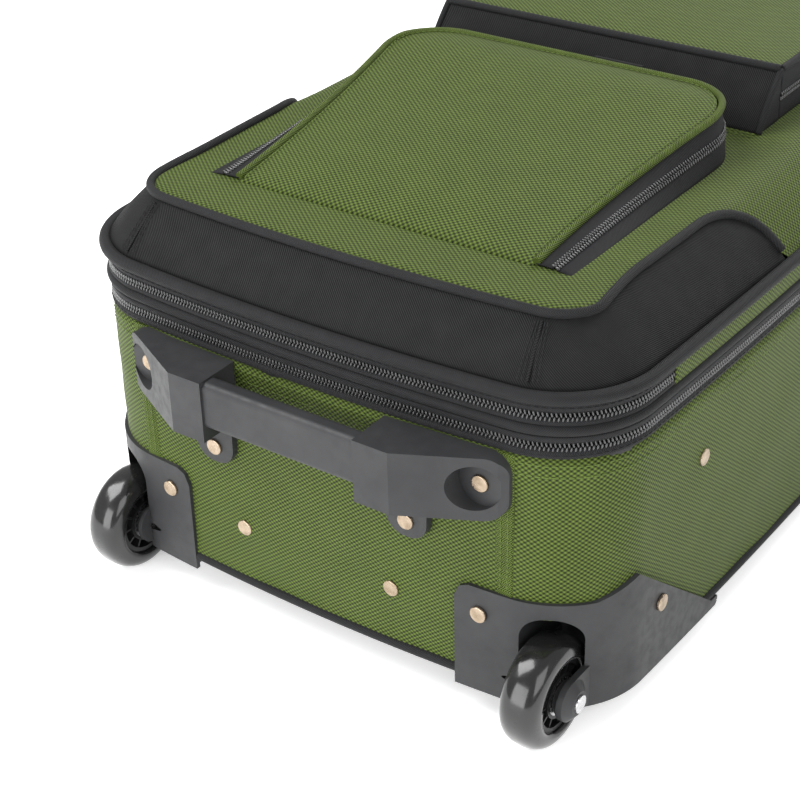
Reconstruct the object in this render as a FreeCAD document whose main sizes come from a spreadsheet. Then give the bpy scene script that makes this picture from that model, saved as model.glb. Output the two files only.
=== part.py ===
import FreeCAD, Part
import math
import os
import re
import Sketcher

# Softside upright suitcase, lying on its back panel and wheels, in millimetres.
# +X points to the lid's hinge side, +Y from the wheel end to the pull-handle end, +Z out of
# the front. The pieces are laid out from the wheel end's plane (y = 0) and the back panel's
# outer face (z = 0), and each sub-part's Placement then moves the origin to the middle of the
# bounding box's lowest face.

SIZES = {
    # the case in plan: a rounded rectangle whose four sides bow outward
    "half_width": 172, "case_length": 500, "corner_radius": 54, "side_bow": 4, "end_bow": 5,
    # heights of the stack, from the back panel to the front panel
    "shell_depth": 150, "wall": 3, "zip_band": 13, "welt_height": 6, "welt_proud": 2,
    "tape_height": 5, "lid_skirt": 7, "lid_slope_rise": 25, "lid_slope_inset": 24,
    "piping": 7, "piping_proud": 5, "skirt_inset": 2.3, "face_piping": 5, "panel_thickness": 5,
    "gap": 0.3, "expansion": 50,
    # inside of the case
    "lining": 1, "board": 2, "tunnel_height": 17, "tunnel_half_width": 72, "hoop": 4,
    "hoop_height": 12, "edge_piping": 2.5, "edge_piping_height": 5.5,
    # wheels
    "wheel_radius": 32, "wheel_width": 24, "wheel_x": 145, "wheel_y": 1, "wheel_z": 9.5,
    "hub_radius": 20.5, "hub_width": 19, "bearing_radius": 11, "bearing_width": 7,
    "axle_radius": 4, "axle_fit": 0.05, "spokes": 12,
    # corner guards and wheel wells
    "guard_inner_x": 92, "guard_thickness": 3, "guard_top": 63, "guard_peak": 69,
    "guard_peak_y": 45, "guard_toe_y": 128, "guard_tip_y": 135, "guard_drop": 6,
    "guard_round": 10, "well_clear": 3, "well_wall": 2, "well_depth": 40, "well_top": 53,
    "ear": 4, "ear_radius": 12,
    # rivets
    "rivet_radius": 4.9, "rivet_head": 1.6, "rivet_dome": 0.7,
    "guard_rivet_x": 107, "guard_rivet_z": 46,
    "side_rivet_y": 68, "side_rivet_z": 37, "panel_rivet_x": 51, "panel_rivet_z": 40,
    "edge_rivet_y": 110, "edge_rivet_z": 106,
    # foot handle on the wheel end
    "foot_half_span": 125, "foot_bottom": 112, "foot_top": 149, "foot_plate": 6,
    "foot_reach": 33, "foot_block_in": 50, "foot_block_out": 72, "foot_bar_bottom": 120,
    "foot_bar_thick": 12, "foot_tab_x": 65, "foot_tab_half": 13, "foot_tab_drop": 82,
    "foot_rivet_x": 110, "foot_rivet_z": 131, "foot_tab_rivet_z": 92, "foot_scoop": 13,
    "foot_round": 11,
    # telescopic handle
    "tube_x": 51, "tube_z": 13.3, "tube_wide": 20, "tube_thick": 14, "tube_wall": 1.2,
    "tube_start": 10, "stage_step": 14, "bezel_half_width": 72, "bezel_low": 5,
    "bezel_high": 24, "bezel_proud": 7, "grip_half_width": 66, "grip_height": 20,
    "grip_low": 4, "grip_high": 24, "button_half_width": 15, "button_half_height": 4.5,
    "button_travel": 3, "button_proud": 3.5, "button_depth": 6,
    # carry handles on the pull-handle end and on the side
    "carry_half_span": 95, "carry_cap": 25, "carry_width": 26, "carry_z": 95,
    "carry_rise": 6, "carry_thick": 9, "side_carry_y": 290,
    # pockets on the lid
    "pocket_half_width": 118, "pocket_start": 64, "pocket_end": 262, "pocket_rise": 28,
    "pocket_zip_rise": 14, "pocket_round": 34, "pocket_wall": 3, "panel_skin": 2.5,
    "upper_half_width": 116, "upper_start": 276, "upper_end": 455, "upper_rise": 32,
    "upper_slope": 25, "upper_zip_rise": 14, "upper_round": 30,
    # zips
    "hinge_start": 72, "slider_length": 13, "slider_width": 8.4, "slider_thick": 3.6,
    "puller_length": 34, "puller_width": 7, "puller_thick": 1.8, "bail": 3,
    "eye_wire": 0.8, "eye_length": 9, "loop_radius": 6.5, "tab_length": 32, "tab_width": 11,
    "tab_thick": 2, "tab_raise": 5,
    "main_slider_y": 150, "slider_spacing": 60, "expansion_slider_y": 330,
    "pocket_slider_x": 34, "upper_slider_x": 40,
    # straps inside
    "strap_width": 25, "strap_thick": 1.5, "strap_low_y": 150, "strap_high_y": 350,
    "strap_lift": 60, "buckle_length": 56, "buckle_width": 36, "buckle_thick": 9,
}

# Levels and arcs that follow from the sizes, written as formulas of them.
DERIVED = {
    "mid_y": "case_length / 2",
    "side_span": "(case_length / 2 - corner_radius)",
    "end_span": "(half_width - corner_radius)",
    "side_arc": "(corner_radius + (side_bow^2 + side_span^2) / (2 * side_bow))",
    "end_arc": "(corner_radius + (end_bow^2 + end_span^2) / (2 * end_bow))",
    "band_top": "(shell_depth + zip_band)",
    "expansion_split": "(shell_depth + zip_band / 2 + gap)",
    "welt_top": "(band_top + welt_height)",
    "split_z": "(welt_top + tape_height)",
    "skirt_start": "(split_z + gap + lid_skirt)",
    "piping_top": "(skirt_start + piping)",
    "slope_top": "(piping_top + lid_slope_rise)",
    "panel_top": "(slope_top + face_piping - 1)",
    "face_z": "(panel_top + gap)",
    "hinge_x": "(half_width + side_bow + piping_proud + gap)",
    "floor_z": "(wall + gap + board + gap + tunnel_height + gap)",
    "hinge_end": "(case_length - hinge_start)",
    "top_y": "(case_length + end_bow)",
    "grip_start": "(top_y + bezel_proud + gap)",
    "grip_end": "(grip_start + grip_height)",
    "lowest_z": "(wheel_z - wheel_radius)",
    "nearest_y": "(-foot_reach)",
    "farthest_y": "(grip_end + button_proud)",
    "side_reach": "(half_width + side_bow + carry_rise + carry_thick)",
}

doc = FreeCAD.newDocument("upright_suitcase")
sheet = doc.addObject("Spreadsheet::Sheet", "Sizes")
for row, (word, number) in enumerate(SIZES.items(), start=1):
    sheet.set(f"A{row}", word)
    sheet.set(f"B{row}", str(number))
    sheet.setAlias(f"B{row}", word)
doc.recompute()
probe = doc.addObject("App::FeaturePython", "Probe")
probe.addProperty("App::PropertyFloat", "Reading")
parts = {}


def formula(text):
    """Write a formula of size names as an expression of the sheet's cells."""
    def swap(match):
        word = match.group()
        if word in DERIVED:
            return formula(DERIVED[word])
        return f"Sizes.{word}" if word in SIZES else word
    return re.sub(r"[a-z][a-z_0-9]*", swap, str(text))


def value(text):
    """The number that a formula of size names comes to."""
    probe.setExpression("Reading", formula(text))
    probe.recompute()
    return probe.Reading


def bind(item, prop, text):
    item.setExpression(prop, formula(text))


def move(item, x="0", y="0", z="0"):
    for axis, text in (("x", x), ("y", y), ("z", z)):
        bind(item, f"Placement.Base.{axis}", text)


# ---- primitives and booleans, used as tools --------------------------------------------

def box(x0, x1, y0, y1, z0, z1):
    """A Part::Box between two corners, each coordinate a formula."""
    item = doc.addObject("Part::Box", "Box")
    for prop, low, high in (("Length", x0, x1), ("Width", y0, y1), ("Height", z0, z1)):
        bind(item, prop, f"({high}) - ({low})")
    move(item, x0, y0, z0)
    return item


TURNS = {"x": FreeCAD.Rotation(FreeCAD.Vector(0, 1, 0), 90),
         "y": FreeCAD.Rotation(FreeCAD.Vector(1, 0, 0), -90),
         "z": FreeCAD.Rotation()}


def cylinder(radius, length, x, y, z, axis):
    """A Part::Cylinder from a point along +axis."""
    item = doc.addObject("Part::Cylinder", "Cylinder")
    item.Placement = FreeCAD.Placement(FreeCAD.Vector(), TURNS[axis])
    bind(item, "Radius", radius)
    bind(item, "Height", length)
    move(item, x, y, z)
    return item


def cone(radius, end_radius, length, x, y, z, axis):
    item = doc.addObject("Part::Cone", "Cone")
    item.Placement = FreeCAD.Placement(FreeCAD.Vector(), TURNS[axis])
    bind(item, "Radius1", radius)
    bind(item, "Radius2", end_radius)
    bind(item, "Height", length)
    move(item, x, y, z)
    return item


def cut(base, *tools):
    item = doc.addObject("Part::Cut", "Cut")
    item.Base = base
    item.Tool = tools[0] if len(tools) == 1 else fuse(*tools)
    return item


def fuse(*pieces):
    item = doc.addObject("Part::MultiFuse", "Fuse")
    item.Shapes = list(pieces)
    return item


def common(base, tool):
    item = doc.addObject("Part::Common", "Common")
    item.Base = base
    item.Tool = tool
    return item


def group(*pieces):
    item = doc.addObject("Part::Compound", "Group")
    item.Links = list(pieces)
    return item


def mirror(source):
    """The other hand of a piece, across the plane x = 0."""
    item = doc.addObject("Part::Mirroring", "Mirror")
    item.Source = source
    item.Normal = FreeCAD.Vector(1, 0, 0)
    return item


def rounded(base, radius, pick):
    """Part::Fillet on the edges that pick(edge) chooses."""
    doc.recompute()
    item = doc.addObject("Part::Fillet", "Rounded")
    item.Base = base
    size = value(radius)
    item.Edges = [(index, size, size) for index, edge in enumerate(base.Shape.Edges, start=1)
                  if pick(edge)]
    return item


def along(axis):
    """Picks the straight edges that run along one axis."""
    way = {"x": FreeCAD.Vector(1, 0, 0), "y": FreeCAD.Vector(0, 1, 0),
           "z": FreeCAD.Vector(0, 0, 1)}[axis]

    def pick(edge):
        line = isinstance(edge.Curve, Part.Line)
        return line and abs(abs(edge.Curve.Direction.dot(way)) - 1) < 1e-6
    return pick


# ---- bodies with sketches ----------------------------------------------------------------

def new_body(name):
    return doc.addObject("PartDesign::Body", name)


def sketch_on(body, role, offset="0"):
    plane = next(p for p in body.Origin.OriginFeatures if p.Role == role)
    sketch = body.newObject("Sketcher::SketchObject", f"{body.Name}_sketch")
    sketch.AttachmentSupport = [(plane, "")]
    sketch.MapMode = "FlatFace"
    bind(sketch, "AttachmentOffset.Base.z", offset)
    return sketch


def pin(sketch, shape, point, x, y):
    """Dimension a point of a sketch from the origin, along both axes."""
    for kind, axis, text in (("DistanceX", -2, x), ("DistanceY", -1, y)):
        number = value(text)
        if abs(number) < 1e-6:
            sketch.addConstraint(Sketcher.Constraint("PointOnObject", shape, point, axis))
            continue
        spot = sketch.addConstraint(Sketcher.Constraint(kind, -1, 1, shape, point, number))
        bind(sketch, f"Constraints[{spot}]", text)


def polygon(sketch, corners):
    first = sketch.GeometryCount
    spots = [FreeCAD.Vector(value(x), value(y), 0) for x, y in corners]
    count = len(spots)
    for here, there in zip(spots, spots[1:] + spots[:1]):
        sketch.addGeometry(Part.LineSegment(here, there), False)
    for index in range(count):
        sketch.addConstraint(Sketcher.Constraint(
            "Coincident", first + index, 2, first + (index + 1) % count, 1))
    for index, (x, y) in enumerate(corners):
        pin(sketch, first + index, 1, x, y)


def rectangle(sketch, x0, x1, y0, y1):
    polygon(sketch, [(x0, y0), (x1, y0), (x1, y1), (x0, y1)])


def circle(sketch, x, y, radius):
    spot = FreeCAD.Vector(value(x), value(y), 0)
    shape = sketch.addGeometry(Part.Circle(spot, FreeCAD.Vector(0, 0, 1), value(radius)), False)
    pin(sketch, shape, 3, x, y)
    size = sketch.addConstraint(Sketcher.Constraint("Radius", shape, value(radius)))
    bind(sketch, f"Constraints[{size}]", radius)


def outline(sketch, inset):
    """The case's plan outline moved inward by inset: four corner arcs and four bowed sides."""
    first = sketch.GeometryCount
    side_turn = math.atan2(-value("side_span"), value("side_arc - corner_radius - side_bow"))
    end_turn = math.atan2(value("corner_radius + end_bow - end_arc"), value("end_span"))
    low, high = "corner_radius", "case_length - corner_radius"
    left, right = "-end_span", "end_span"
    arcs = [
        ("0", "end_arc - end_bow", "end_arc", -math.pi - end_turn, end_turn),
        (right, low, "corner_radius", end_turn, side_turn),
        ("half_width + side_bow - side_arc", "mid_y", "side_arc", side_turn, -side_turn),
        (right, high, "corner_radius", -side_turn, -end_turn),
        ("0", "case_length + end_bow - end_arc", "end_arc", -end_turn, math.pi + end_turn),
        (left, high, "corner_radius", math.pi + end_turn, math.pi + side_turn),
        ("side_arc - half_width - side_bow", "mid_y", "side_arc",
         math.pi + side_turn, math.pi - side_turn),
        (left, low, "corner_radius", math.pi - side_turn, math.pi - end_turn),
    ]
    for x, y, radius, start, stop in arcs:
        centre = FreeCAD.Vector(value(x), value(y), 0)
        size = value(f"{radius} - ({inset})")
        base = Part.Circle(centre, FreeCAD.Vector(0, 0, 1), size)
        sketch.addGeometry(Part.ArcOfCircle(base, start, stop), False)
    for index in range(len(arcs)):
        following = first + (index + 1) % len(arcs)
        sketch.addConstraint(Sketcher.Constraint("Tangent", first + index, 2, following, 1))
    for index, (x, y, radius, _, _) in enumerate(arcs):
        size = value(f"{radius} - ({inset})")
        spot = sketch.addConstraint(Sketcher.Constraint("Radius", first + index, size))
        bind(sketch, f"Constraints[{spot}]", f"{radius} - ({inset})")
        if radius == "corner_radius":
            pin(sketch, first + index, 3, x, y)


def pad(body, sketch, length, reverse=False):
    feature = body.newObject("PartDesign::Pad", f"{body.Name}_pad")
    feature.Profile = sketch
    feature.Reversed = reverse
    bind(feature, "Length", length)
    return feature


def pocket(body, sketch, length, reverse=False):
    feature = body.newObject("PartDesign::Pocket", f"{body.Name}_pocket")
    feature.Profile = sketch
    feature.Reversed = reverse
    bind(feature, "Length", length)
    return feature


def fillet(body, feature, radius, pick):
    """PartDesign::Fillet on the edges of a feature that pick(edge) chooses."""
    doc.recompute()
    names = [f"Edge{index}" for index, edge in enumerate(feature.Shape.Edges, start=1)
             if pick(edge)]
    item = body.newObject("PartDesign::Fillet", f"{body.Name}_fillet")
    item.Base = (feature, names)
    bind(item, "Radius", radius)
    return item


def block(name, x0, x1, y0, y1, z0, z1):
    """A body padded up from a rectangle."""
    body = new_body(name)
    sketch = sketch_on(body, "XY_Plane", z0)
    rectangle(sketch, x0, x1, y0, y1)
    pad(body, sketch, f"({z1}) - ({z0})")
    return body


def ring(name, z0, z1, outer, inner):
    """A body that follows the case's outline, between two insets and two heights."""
    body = new_body(name)
    sketch = sketch_on(body, "XY_Plane", z0)
    outline(sketch, outer)
    outline(sketch, inner)
    pad(body, sketch, f"({z1}) - ({z0})")
    return body


def slab(name, z0, z1, inset):
    body = new_body(name)
    sketch = sketch_on(body, "XY_Plane", z0)
    outline(sketch, inset)
    pad(body, sketch, f"({z1}) - ({z0})")
    return body


def prism(name, role, offset, length, corners, reverse=False):
    """A body padded from a polygon drawn on one of its origin planes."""
    body = new_body(name)
    sketch = sketch_on(body, role, offset)
    polygon(sketch, corners)
    pad(body, sketch, length, reverse)
    return body


def keep(label, item):
    """Name a finished sub-part and move the origin to the middle of the box's lowest face."""
    item.Label = label
    move(item, "(side_reach - hinge_x + gap) / 2", "-(nearest_y + farthest_y) / 2", "-lowest_z")
    parts[label] = item


# ---- the case ---------------------------------------------------------------------------

FAR = "(half_width + 40)"
END_OUT = "-40"


def well_block(side_clear, z_top):
    """The space of one wheel well, a little wider than the wheel, reaching out past the end."""
    reach = f"(wheel_width / 2 + well_clear + ({side_clear}))"
    return box(f"wheel_x - {reach}", f"wheel_x + {reach}", END_OUT,
               f"well_depth + ({side_clear})", "-guard_drop - 20", z_top)


def tunnel_exit(clear):
    """The opening in the far end that the pull handle's tubes come out of."""
    return box(f"-bezel_half_width + wall - ({clear})", f"bezel_half_width - wall + ({clear})",
               "case_length - 20", "case_length + 40",
               f"bezel_low + 1 - ({clear})", f"bezel_high - 1 + ({clear})")


def shell(name, z0, z1, inset, floor):
    """An open tub: a floor and a wall that follows the outline."""
    body = new_body(name)
    sketch = sketch_on(body, "XY_Plane", z0)
    outline(sketch, inset)
    pad(body, sketch, f"({z1}) - ({z0})")
    inner = sketch_on(body, "XY_Plane", z1)
    outline(inner, f"({inset}) + ({floor})")
    pocket(body, inner, f"({z1}) - ({z0}) - ({floor})")
    return body


def build_case():
    well = well_block("well_wall + gap", "well_top + well_wall + gap")
    keep("main_shell", cut(shell("shell_tub", "0", "shell_depth", "0", "wall"),
                           well, mirror(well), tunnel_exit("0.3")))
    lining_top = "shell_depth - hoop_height - 3"
    liner_well = well_block("well_wall + 2 * gap", "well_top + well_wall + 2 * gap")
    keep("lining", cut(shell("lining_tub", "floor_z", lining_top, "wall + gap", "lining"),
                       liner_well, mirror(liner_well)))
    board_well = well_block("well_wall + 1", "well_top")
    keep("back_board", cut(slab("board_sheet", "wall + gap", "wall + gap + board",
                                "wall + gap"), board_well, mirror(board_well)))
    keep("perimeter_frame", ring("perimeter_hoop", f"{lining_top} + gap",
                                 "shell_depth - 2", "wall + gap", "wall + gap + hoop"))
    keep("expansion_gusset", ring("gusset_fold", "shell_depth - 2 + gap", "welt_top",
                                  "wall + hoop + 2 * gap", "wall + hoop + 2 * gap + 1.5"))
    keep("expansion_zip_lower", ring("lower_tape", "shell_depth", "expansion_split - gap",
                                     "0", "wall"))
    strip = ring("edge_strip", "-wall", "edge_piping_height - wall", "-edge_piping", "-0.05")
    near_guard = box("guard_inner_x - gap", FAR, END_OUT, "guard_tip_y + gap", "-30", "30")
    bezel_gap = box("-bezel_half_width - gap", "bezel_half_width + gap",
                    "case_length - 20", "case_length + 40", "-30", "30")
    keep("edge_piping", cut(strip, near_guard, mirror(near_guard), bezel_gap))


def build_straps():
    """Two webbing straps over the packed clothes, each with a side-release buckle."""
    straps, buckles = [], []
    for y in ("strap_low_y", "strap_high_y"):
        reach = f"({side_face(y)} - wall - lining - 2 * gap)"
        level = "floor_z + strap_lift"
        straps.append(box(f"-{reach}", reach, f"{y} - strap_width / 2",
                          f"{y} + strap_width / 2", level, f"{level} + strap_thick"))
        low = "floor_z + strap_lift + strap_thick + 0.05"
        body = block("buckle_shell", "-buckle_length / 2", "buckle_length / 2",
                     f"{y} - buckle_width / 2", f"{y} + buckle_width / 2", low,
                     f"{low} + buckle_thick")
        buckles.append(rounded(body, "3", along("z")))
    keep("packing_straps", group(*straps))
    keep("strap_buckles", group(*buckles))


# ---- corner guards, wheels and rivets ---------------------------------------------------

def guard_right():
    """A moulded corner: the skin round the corner, its foot, the wheel well and the two ears."""
    skin = ring("guard_skin", "-guard_drop", "guard_peak", "-guard_thickness", "-gap / 2")
    side = prism("guard_side_view", "YZ_Plane", "guard_inner_x", "half_width", [
        (END_OUT, "-guard_drop"), (END_OUT, "guard_top"), ("20", "guard_top - 1"),
        ("guard_peak_y", "guard_peak"), ("guard_toe_y", "0"), ("guard_tip_y", "-4"),
        ("guard_tip_y - 2", "-guard_drop")])
    end = prism("guard_end_view", "XZ_Plane", "-case_length", "case_length + 60", [
        ("guard_inner_x", "-guard_drop"), (FAR, "-guard_drop"), (FAR, "guard_peak + 20"),
        ("guard_inner_x", "guard_peak + 20")])
    skin = common(common(skin, side), end)
    top_left = prism("guard_notch", "XZ_Plane", "0", "60", [
        ("guard_inner_x - 5", "guard_top - guard_round"),
        ("guard_inner_x", "guard_top - guard_round"),
        ("guard_inner_x + guard_round * 0.3", "guard_top - guard_round * 0.3"),
        ("guard_inner_x + guard_round", "guard_top"),
        ("guard_inner_x + guard_round", "guard_peak + 25"),
        ("guard_inner_x - 5", "guard_peak + 25")])
    foot = common(slab("guard_foot", "-wall", "-0.02", "-guard_thickness"),
                  prism("guard_foot_view", "XY_Plane", "-wall - 1", "wall + 2", [
                      ("guard_inner_x", END_OUT), (FAR, END_OUT), (FAR, "guard_tip_y"),
                      ("guard_inner_x + 40", "guard_tip_y"), ("guard_inner_x", "70")]))
    outer = "(wheel_width / 2 + well_clear + well_wall)"
    housing = common(
        prism("well_block", "XY_Plane", "-wall", "well_top + well_wall + wall", [
            (f"wheel_x - {outer}", END_OUT), (f"wheel_x + {outer}", END_OUT),
            (f"wheel_x + {outer}", "well_depth + well_wall"),
            (f"wheel_x - {outer}", "well_depth + well_wall")]),
        slab("well_plan", "-wall", "well_top + well_wall", "-guard_thickness"))
    arch = well_block("0", "well_top")
    arch = rounded(arch, "wheel_width / 2 + well_clear - 1", lambda edge: (
        along("y")(edge) and edge.BoundBox.ZMin > 10))
    solid = cut(fuse(cut(skin, top_left), foot, housing), arch)
    ears = []
    inner_face = "wheel_x - wheel_width / 2 - well_clear"
    outer_face = "wheel_x + wheel_width / 2 + well_clear"
    for low, high in ((f"{inner_face} - 1", f"{inner_face} + 1.5"),
                      (f"{outer_face} - 1.5", f"{outer_face} + well_wall")):
        web = prism("ear_web", "YZ_Plane", low, f"({high}) - ({low})", [
            ("wheel_y - 2", "wheel_z - ear_radius"), ("guard_peak_y - 6", "-guard_drop"),
            ("well_depth + 1", "-guard_drop"), ("well_depth + 1", "wheel_z + 12"),
            ("wheel_y + 2", "wheel_z + ear_radius")])
        boss = cylinder("ear_radius", f"({high}) - ({low})", low, "wheel_y", "wheel_z", "x")
        ears += [web, boss]
    seat_gap = "(wheel_x + hub_width / 2 + gap)"
    ears.append(cone("bearing_radius - 2", "ear_radius", f"{outer_face} - 1.5 - {seat_gap}",
                     seat_gap, "wheel_y", "wheel_z", "x"))
    ears.append(cone("ear_radius", "ear_radius - 5", "ear", f"{outer_face} + well_wall - 0.1",
                     "wheel_y", "wheel_z", "x"))
    seat = "(wheel_x - hub_width / 2 - gap)"
    ears.append(cone("ear_radius", "bearing_radius - 2", f"{seat} - ({inner_face} + 1.5)",
                     f"{inner_face} + 1.5", "wheel_y", "wheel_z", "x"))
    bore = cylinder("axle_radius", "60", "wheel_x - 30", "wheel_y", "wheel_z", "x")
    return cut(fuse(solid, *ears), bore)


def rivet_y(x, z, y_face):
    """A domed rivet whose head stands out of a face towards -Y."""
    head = cylinder("rivet_radius", "rivet_head", x, f"{y_face} - rivet_head", z, "y")
    return rounded(head, "rivet_dome",
                   lambda edge: edge.BoundBox.YMax < head.Shape.BoundBox.YMin + 0.1)


def rivet_x(x_face, y, z):
    """The same rivet on a face towards +X."""
    head = cylinder("rivet_radius", "rivet_head", x_face, y, z, "x")
    return rounded(head, "rivet_dome",
                   lambda edge: edge.BoundBox.XMin > head.Shape.BoundBox.XMax - 0.1)


def end_face(x):
    """How far out the bowed wheel end lies at a given x."""
    return f"(end_arc - end_bow - sqrt(end_arc^2 - ({x})^2))"


def side_face(y):
    """How far out the bowed side lies at a given y."""
    return f"(half_width + side_bow - side_arc + sqrt(side_arc^2 - (({y}) - mid_y)^2))"


def both(piece):
    return [piece, mirror(piece)]


def build_corners():
    guard = guard_right()
    keep("corner_guard_right", guard)
    keep("corner_guard_left", mirror(guard_right()))
    low_x = "wheel_x - wheel_width / 2 - well_clear - 1"
    high_x = "wheel_x + wheel_width / 2 + well_clear + well_wall + ear"
    for label, wrap in (("axle_right", lambda item: item), ("axle_left", mirror)):
        pin_body = cylinder("axle_radius - 0.02", f"({high_x}) - ({low_x})", low_x,
                            "wheel_y", "wheel_z", "x")
        head = cylinder("axle_radius + 1", "1", high_x, "wheel_y", "wheel_z", "x")
        keep(label, wrap(fuse(pin_body, head)))
    on_guard = f"{end_face('guard_rivet_x')} - guard_thickness - gap"
    heads = both(rivet_y("guard_rivet_x", "guard_rivet_z", on_guard))
    heads += both(rivet_x(f"{side_face('side_rivet_y')} + guard_thickness + gap",
                          "side_rivet_y", "side_rivet_z"))
    keep("guard_rivets", group(*heads))
    heads = both(rivet_y("panel_rivet_x", "panel_rivet_z",
                         f"{end_face('panel_rivet_x')} - 0.5"))
    heads += both(rivet_x(f"{side_face('edge_rivet_y')} + gap", "edge_rivet_y",
                          "edge_rivet_z"))
    keep("panel_rivets", group(*heads))


def wheel(side):
    """Tyre, spoked hub and two bearings that turn on the axle."""
    tyre = new_body("tyre_turned")
    sketch = sketch_on(tyre, "XY_Plane", "wheel_z")
    half = "wheel_width / 2"
    inner = "hub_radius + 0.05"
    polygon(sketch, [
        (f"wheel_x - {half} + 2", f"wheel_y + {inner}"),
        (f"wheel_x + {half} - 2", f"wheel_y + {inner}"),
        (f"wheel_x + {half}", f"wheel_y + {inner} + 3"),
        (f"wheel_x + {half}", "wheel_y + wheel_radius - 4"),
        (f"wheel_x + {half} - 3.4", "wheel_y + wheel_radius - 1"),
        ("wheel_x + 4", "wheel_y + wheel_radius"), ("wheel_x - 4", "wheel_y + wheel_radius"),
        (f"wheel_x - {half} + 3.4", "wheel_y + wheel_radius - 1"),
        (f"wheel_x - {half}", "wheel_y + wheel_radius - 4"),
        (f"wheel_x - {half}", f"wheel_y + {inner} + 3")])
    axis = sketch_on(tyre, "XY_Plane", "wheel_z")
    line = axis.addGeometry(Part.LineSegment(FreeCAD.Vector(0, value("wheel_y"), 0),
                                             FreeCAD.Vector(10, value("wheel_y"), 0)), False)
    pin(axis, line, 1, "0", "wheel_y")
    pin(axis, line, 2, "10", "wheel_y")
    turn = tyre.newObject("PartDesign::Revolution", "tyre_turn")
    turn.Profile = sketch
    turn.ReferenceAxis = (axis, ["Edge1"])
    turn.Angle = 360
    hub_left = "wheel_x - hub_width / 2"
    rim = cylinder("hub_radius", "hub_width", hub_left, "wheel_y", "wheel_z", "x")
    bore = cylinder("bearing_radius + 0.02", "80", "wheel_x - 40", "wheel_y", "wheel_z", "x")
    hollow = cylinder("hub_radius - 2.5", "hub_width", f"{hub_left} + hub_width / 2 + 1.2",
                      "wheel_y", "wheel_z", "x")
    hollow_in = cylinder("hub_radius - 2.5", "hub_width", f"{hub_left} - hub_width / 2 - 1.2",
                         "wheel_y", "wheel_z", "x")
    sleeve = cylinder("bearing_radius + 2", "hub_width", hub_left, "wheel_y", "wheel_z", "x")
    turns = int(SIZES["spokes"])
    ribs = []
    for number in range(turns):
        rib = box("-hub_width / 2 + 1", "hub_width / 2 - 1", "bearing_radius + 1",
                  "hub_radius - 1", "-0.6", "0.6")
        holder = group(rib)
        angle = 360 * number / turns
        holder.Placement = FreeCAD.Placement(
            FreeCAD.Vector(), FreeCAD.Rotation(FreeCAD.Vector(1, 0, 0), angle))
        move(holder, "wheel_x", "wheel_y", "wheel_z")
        ribs.append(holder)
    hub = cut(fuse(cut(rim, hollow, hollow_in), sleeve, *ribs), bore)
    races = []
    for start in (hub_left, f"wheel_x + hub_width / 2 - bearing_width"):
        outer = cylinder("bearing_radius", "bearing_width", start, "wheel_y", "wheel_z", "x")
        hole = cylinder("axle_radius + axle_fit - 0.02", "40", f"({start}) - 10",
                        "wheel_y", "wheel_z", "x")
        races.append(cut(outer, hole))
    wrap = mirror if side == "left" else (lambda item: item)
    keep(f"tyre_{side}", wrap(tyre))
    keep(f"hub_{side}", wrap(hub))
    keep(f"bearings_{side}", wrap(group(*races)))


# ---- foot handle -------------------------------------------------------------------------

def build_foot_handle():
    end_view = prism("foot_end_view", "XZ_Plane", "-20", "foot_reach + 20", [
        ("foot_block_in", "foot_bottom"), ("foot_half_span", "foot_bottom"),
        ("foot_half_span", "foot_top"), ("foot_block_in", "foot_top")])
    fillet(end_view, end_view.Tip, "foot_round", lambda edge: (
        along("y")(edge) and edge.BoundBox.XMin > value("foot_half_span") - 1))
    plan = prism("foot_plan", "XY_Plane", "foot_bottom", "foot_top - foot_bottom", [
        ("foot_block_in", "20"), ("foot_block_in", "-foot_reach"),
        ("foot_block_out", "-foot_reach"), ("foot_half_span - 4", "-foot_plate - 2"),
        ("foot_half_span", "-foot_plate + 2"), ("foot_half_span", "20")])
    end = common(end_view, plan)
    scoop = cylinder("foot_scoop", "20", "foot_rivet_x", "-foot_plate - 21", "foot_rivet_z", "y")
    end = cut(end, scoop)
    tab = prism("foot_tab", "XZ_Plane", "-20", "20 + foot_plate + 3", [
        ("foot_tab_x - foot_tab_half", "foot_tab_drop"),
        ("foot_tab_x + foot_tab_half", "foot_tab_drop"),
        ("foot_tab_x + foot_tab_half", "foot_bottom + 2"),
        ("foot_tab_x - foot_tab_half", "foot_bottom + 2")])
    fillet(tab, tab.Tip, "foot_tab_half - 1.5", lambda edge: (
        along("y")(edge) and edge.BoundBox.ZMax < value("foot_tab_drop") + 1))
    half = fuse(end, tab)
    bar = block("foot_bar", "-foot_block_in - 1", "foot_block_in + 1",
                "-foot_reach + 1.5", "-foot_reach + 1.5 + foot_bar_thick",
                "foot_bar_bottom", "foot_top - 1")
    fillet(bar, bar.Tip, "4", along("x"))
    envelope = slab("foot_envelope", "0", "band_top", "-gap / 2")
    keep("foot_handle", cut(fuse(half, mirror(half), bar), envelope))
    heads = both(rivet_y("foot_rivet_x", "foot_rivet_z", "-foot_plate - 1.02"))
    heads += both(rivet_y("foot_tab_x", "foot_tab_rivet_z", "-foot_plate - 3.02"))
    keep("foot_handle_rivets", group(*heads))


# ---- telescopic handle -------------------------------------------------------------------

def tube(x, y0, y1, shrink, wall, solid=False):
    """A rectangular tube along Y; shrink is how much smaller each half is than the outer one."""
    wide, thick = f"(tube_wide / 2 - ({shrink}))", f"(tube_thick / 2 - ({shrink}))"
    outer = rounded(box(f"({x}) - {wide}", f"({x}) + {wide}", y0, y1,
                        f"tube_z - {thick}", f"tube_z + {thick}"), "1.5", along("y"))
    if solid:
        return outer
    hole = box(f"({x}) - {wide} + {wall}", f"({x}) + {wide} - {wall}", f"({y0}) - 5",
               f"({y1}) + 5", f"tube_z - {thick} + {wall}", f"tube_z + {thick} - {wall}")
    return cut(outer, hole)


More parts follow.
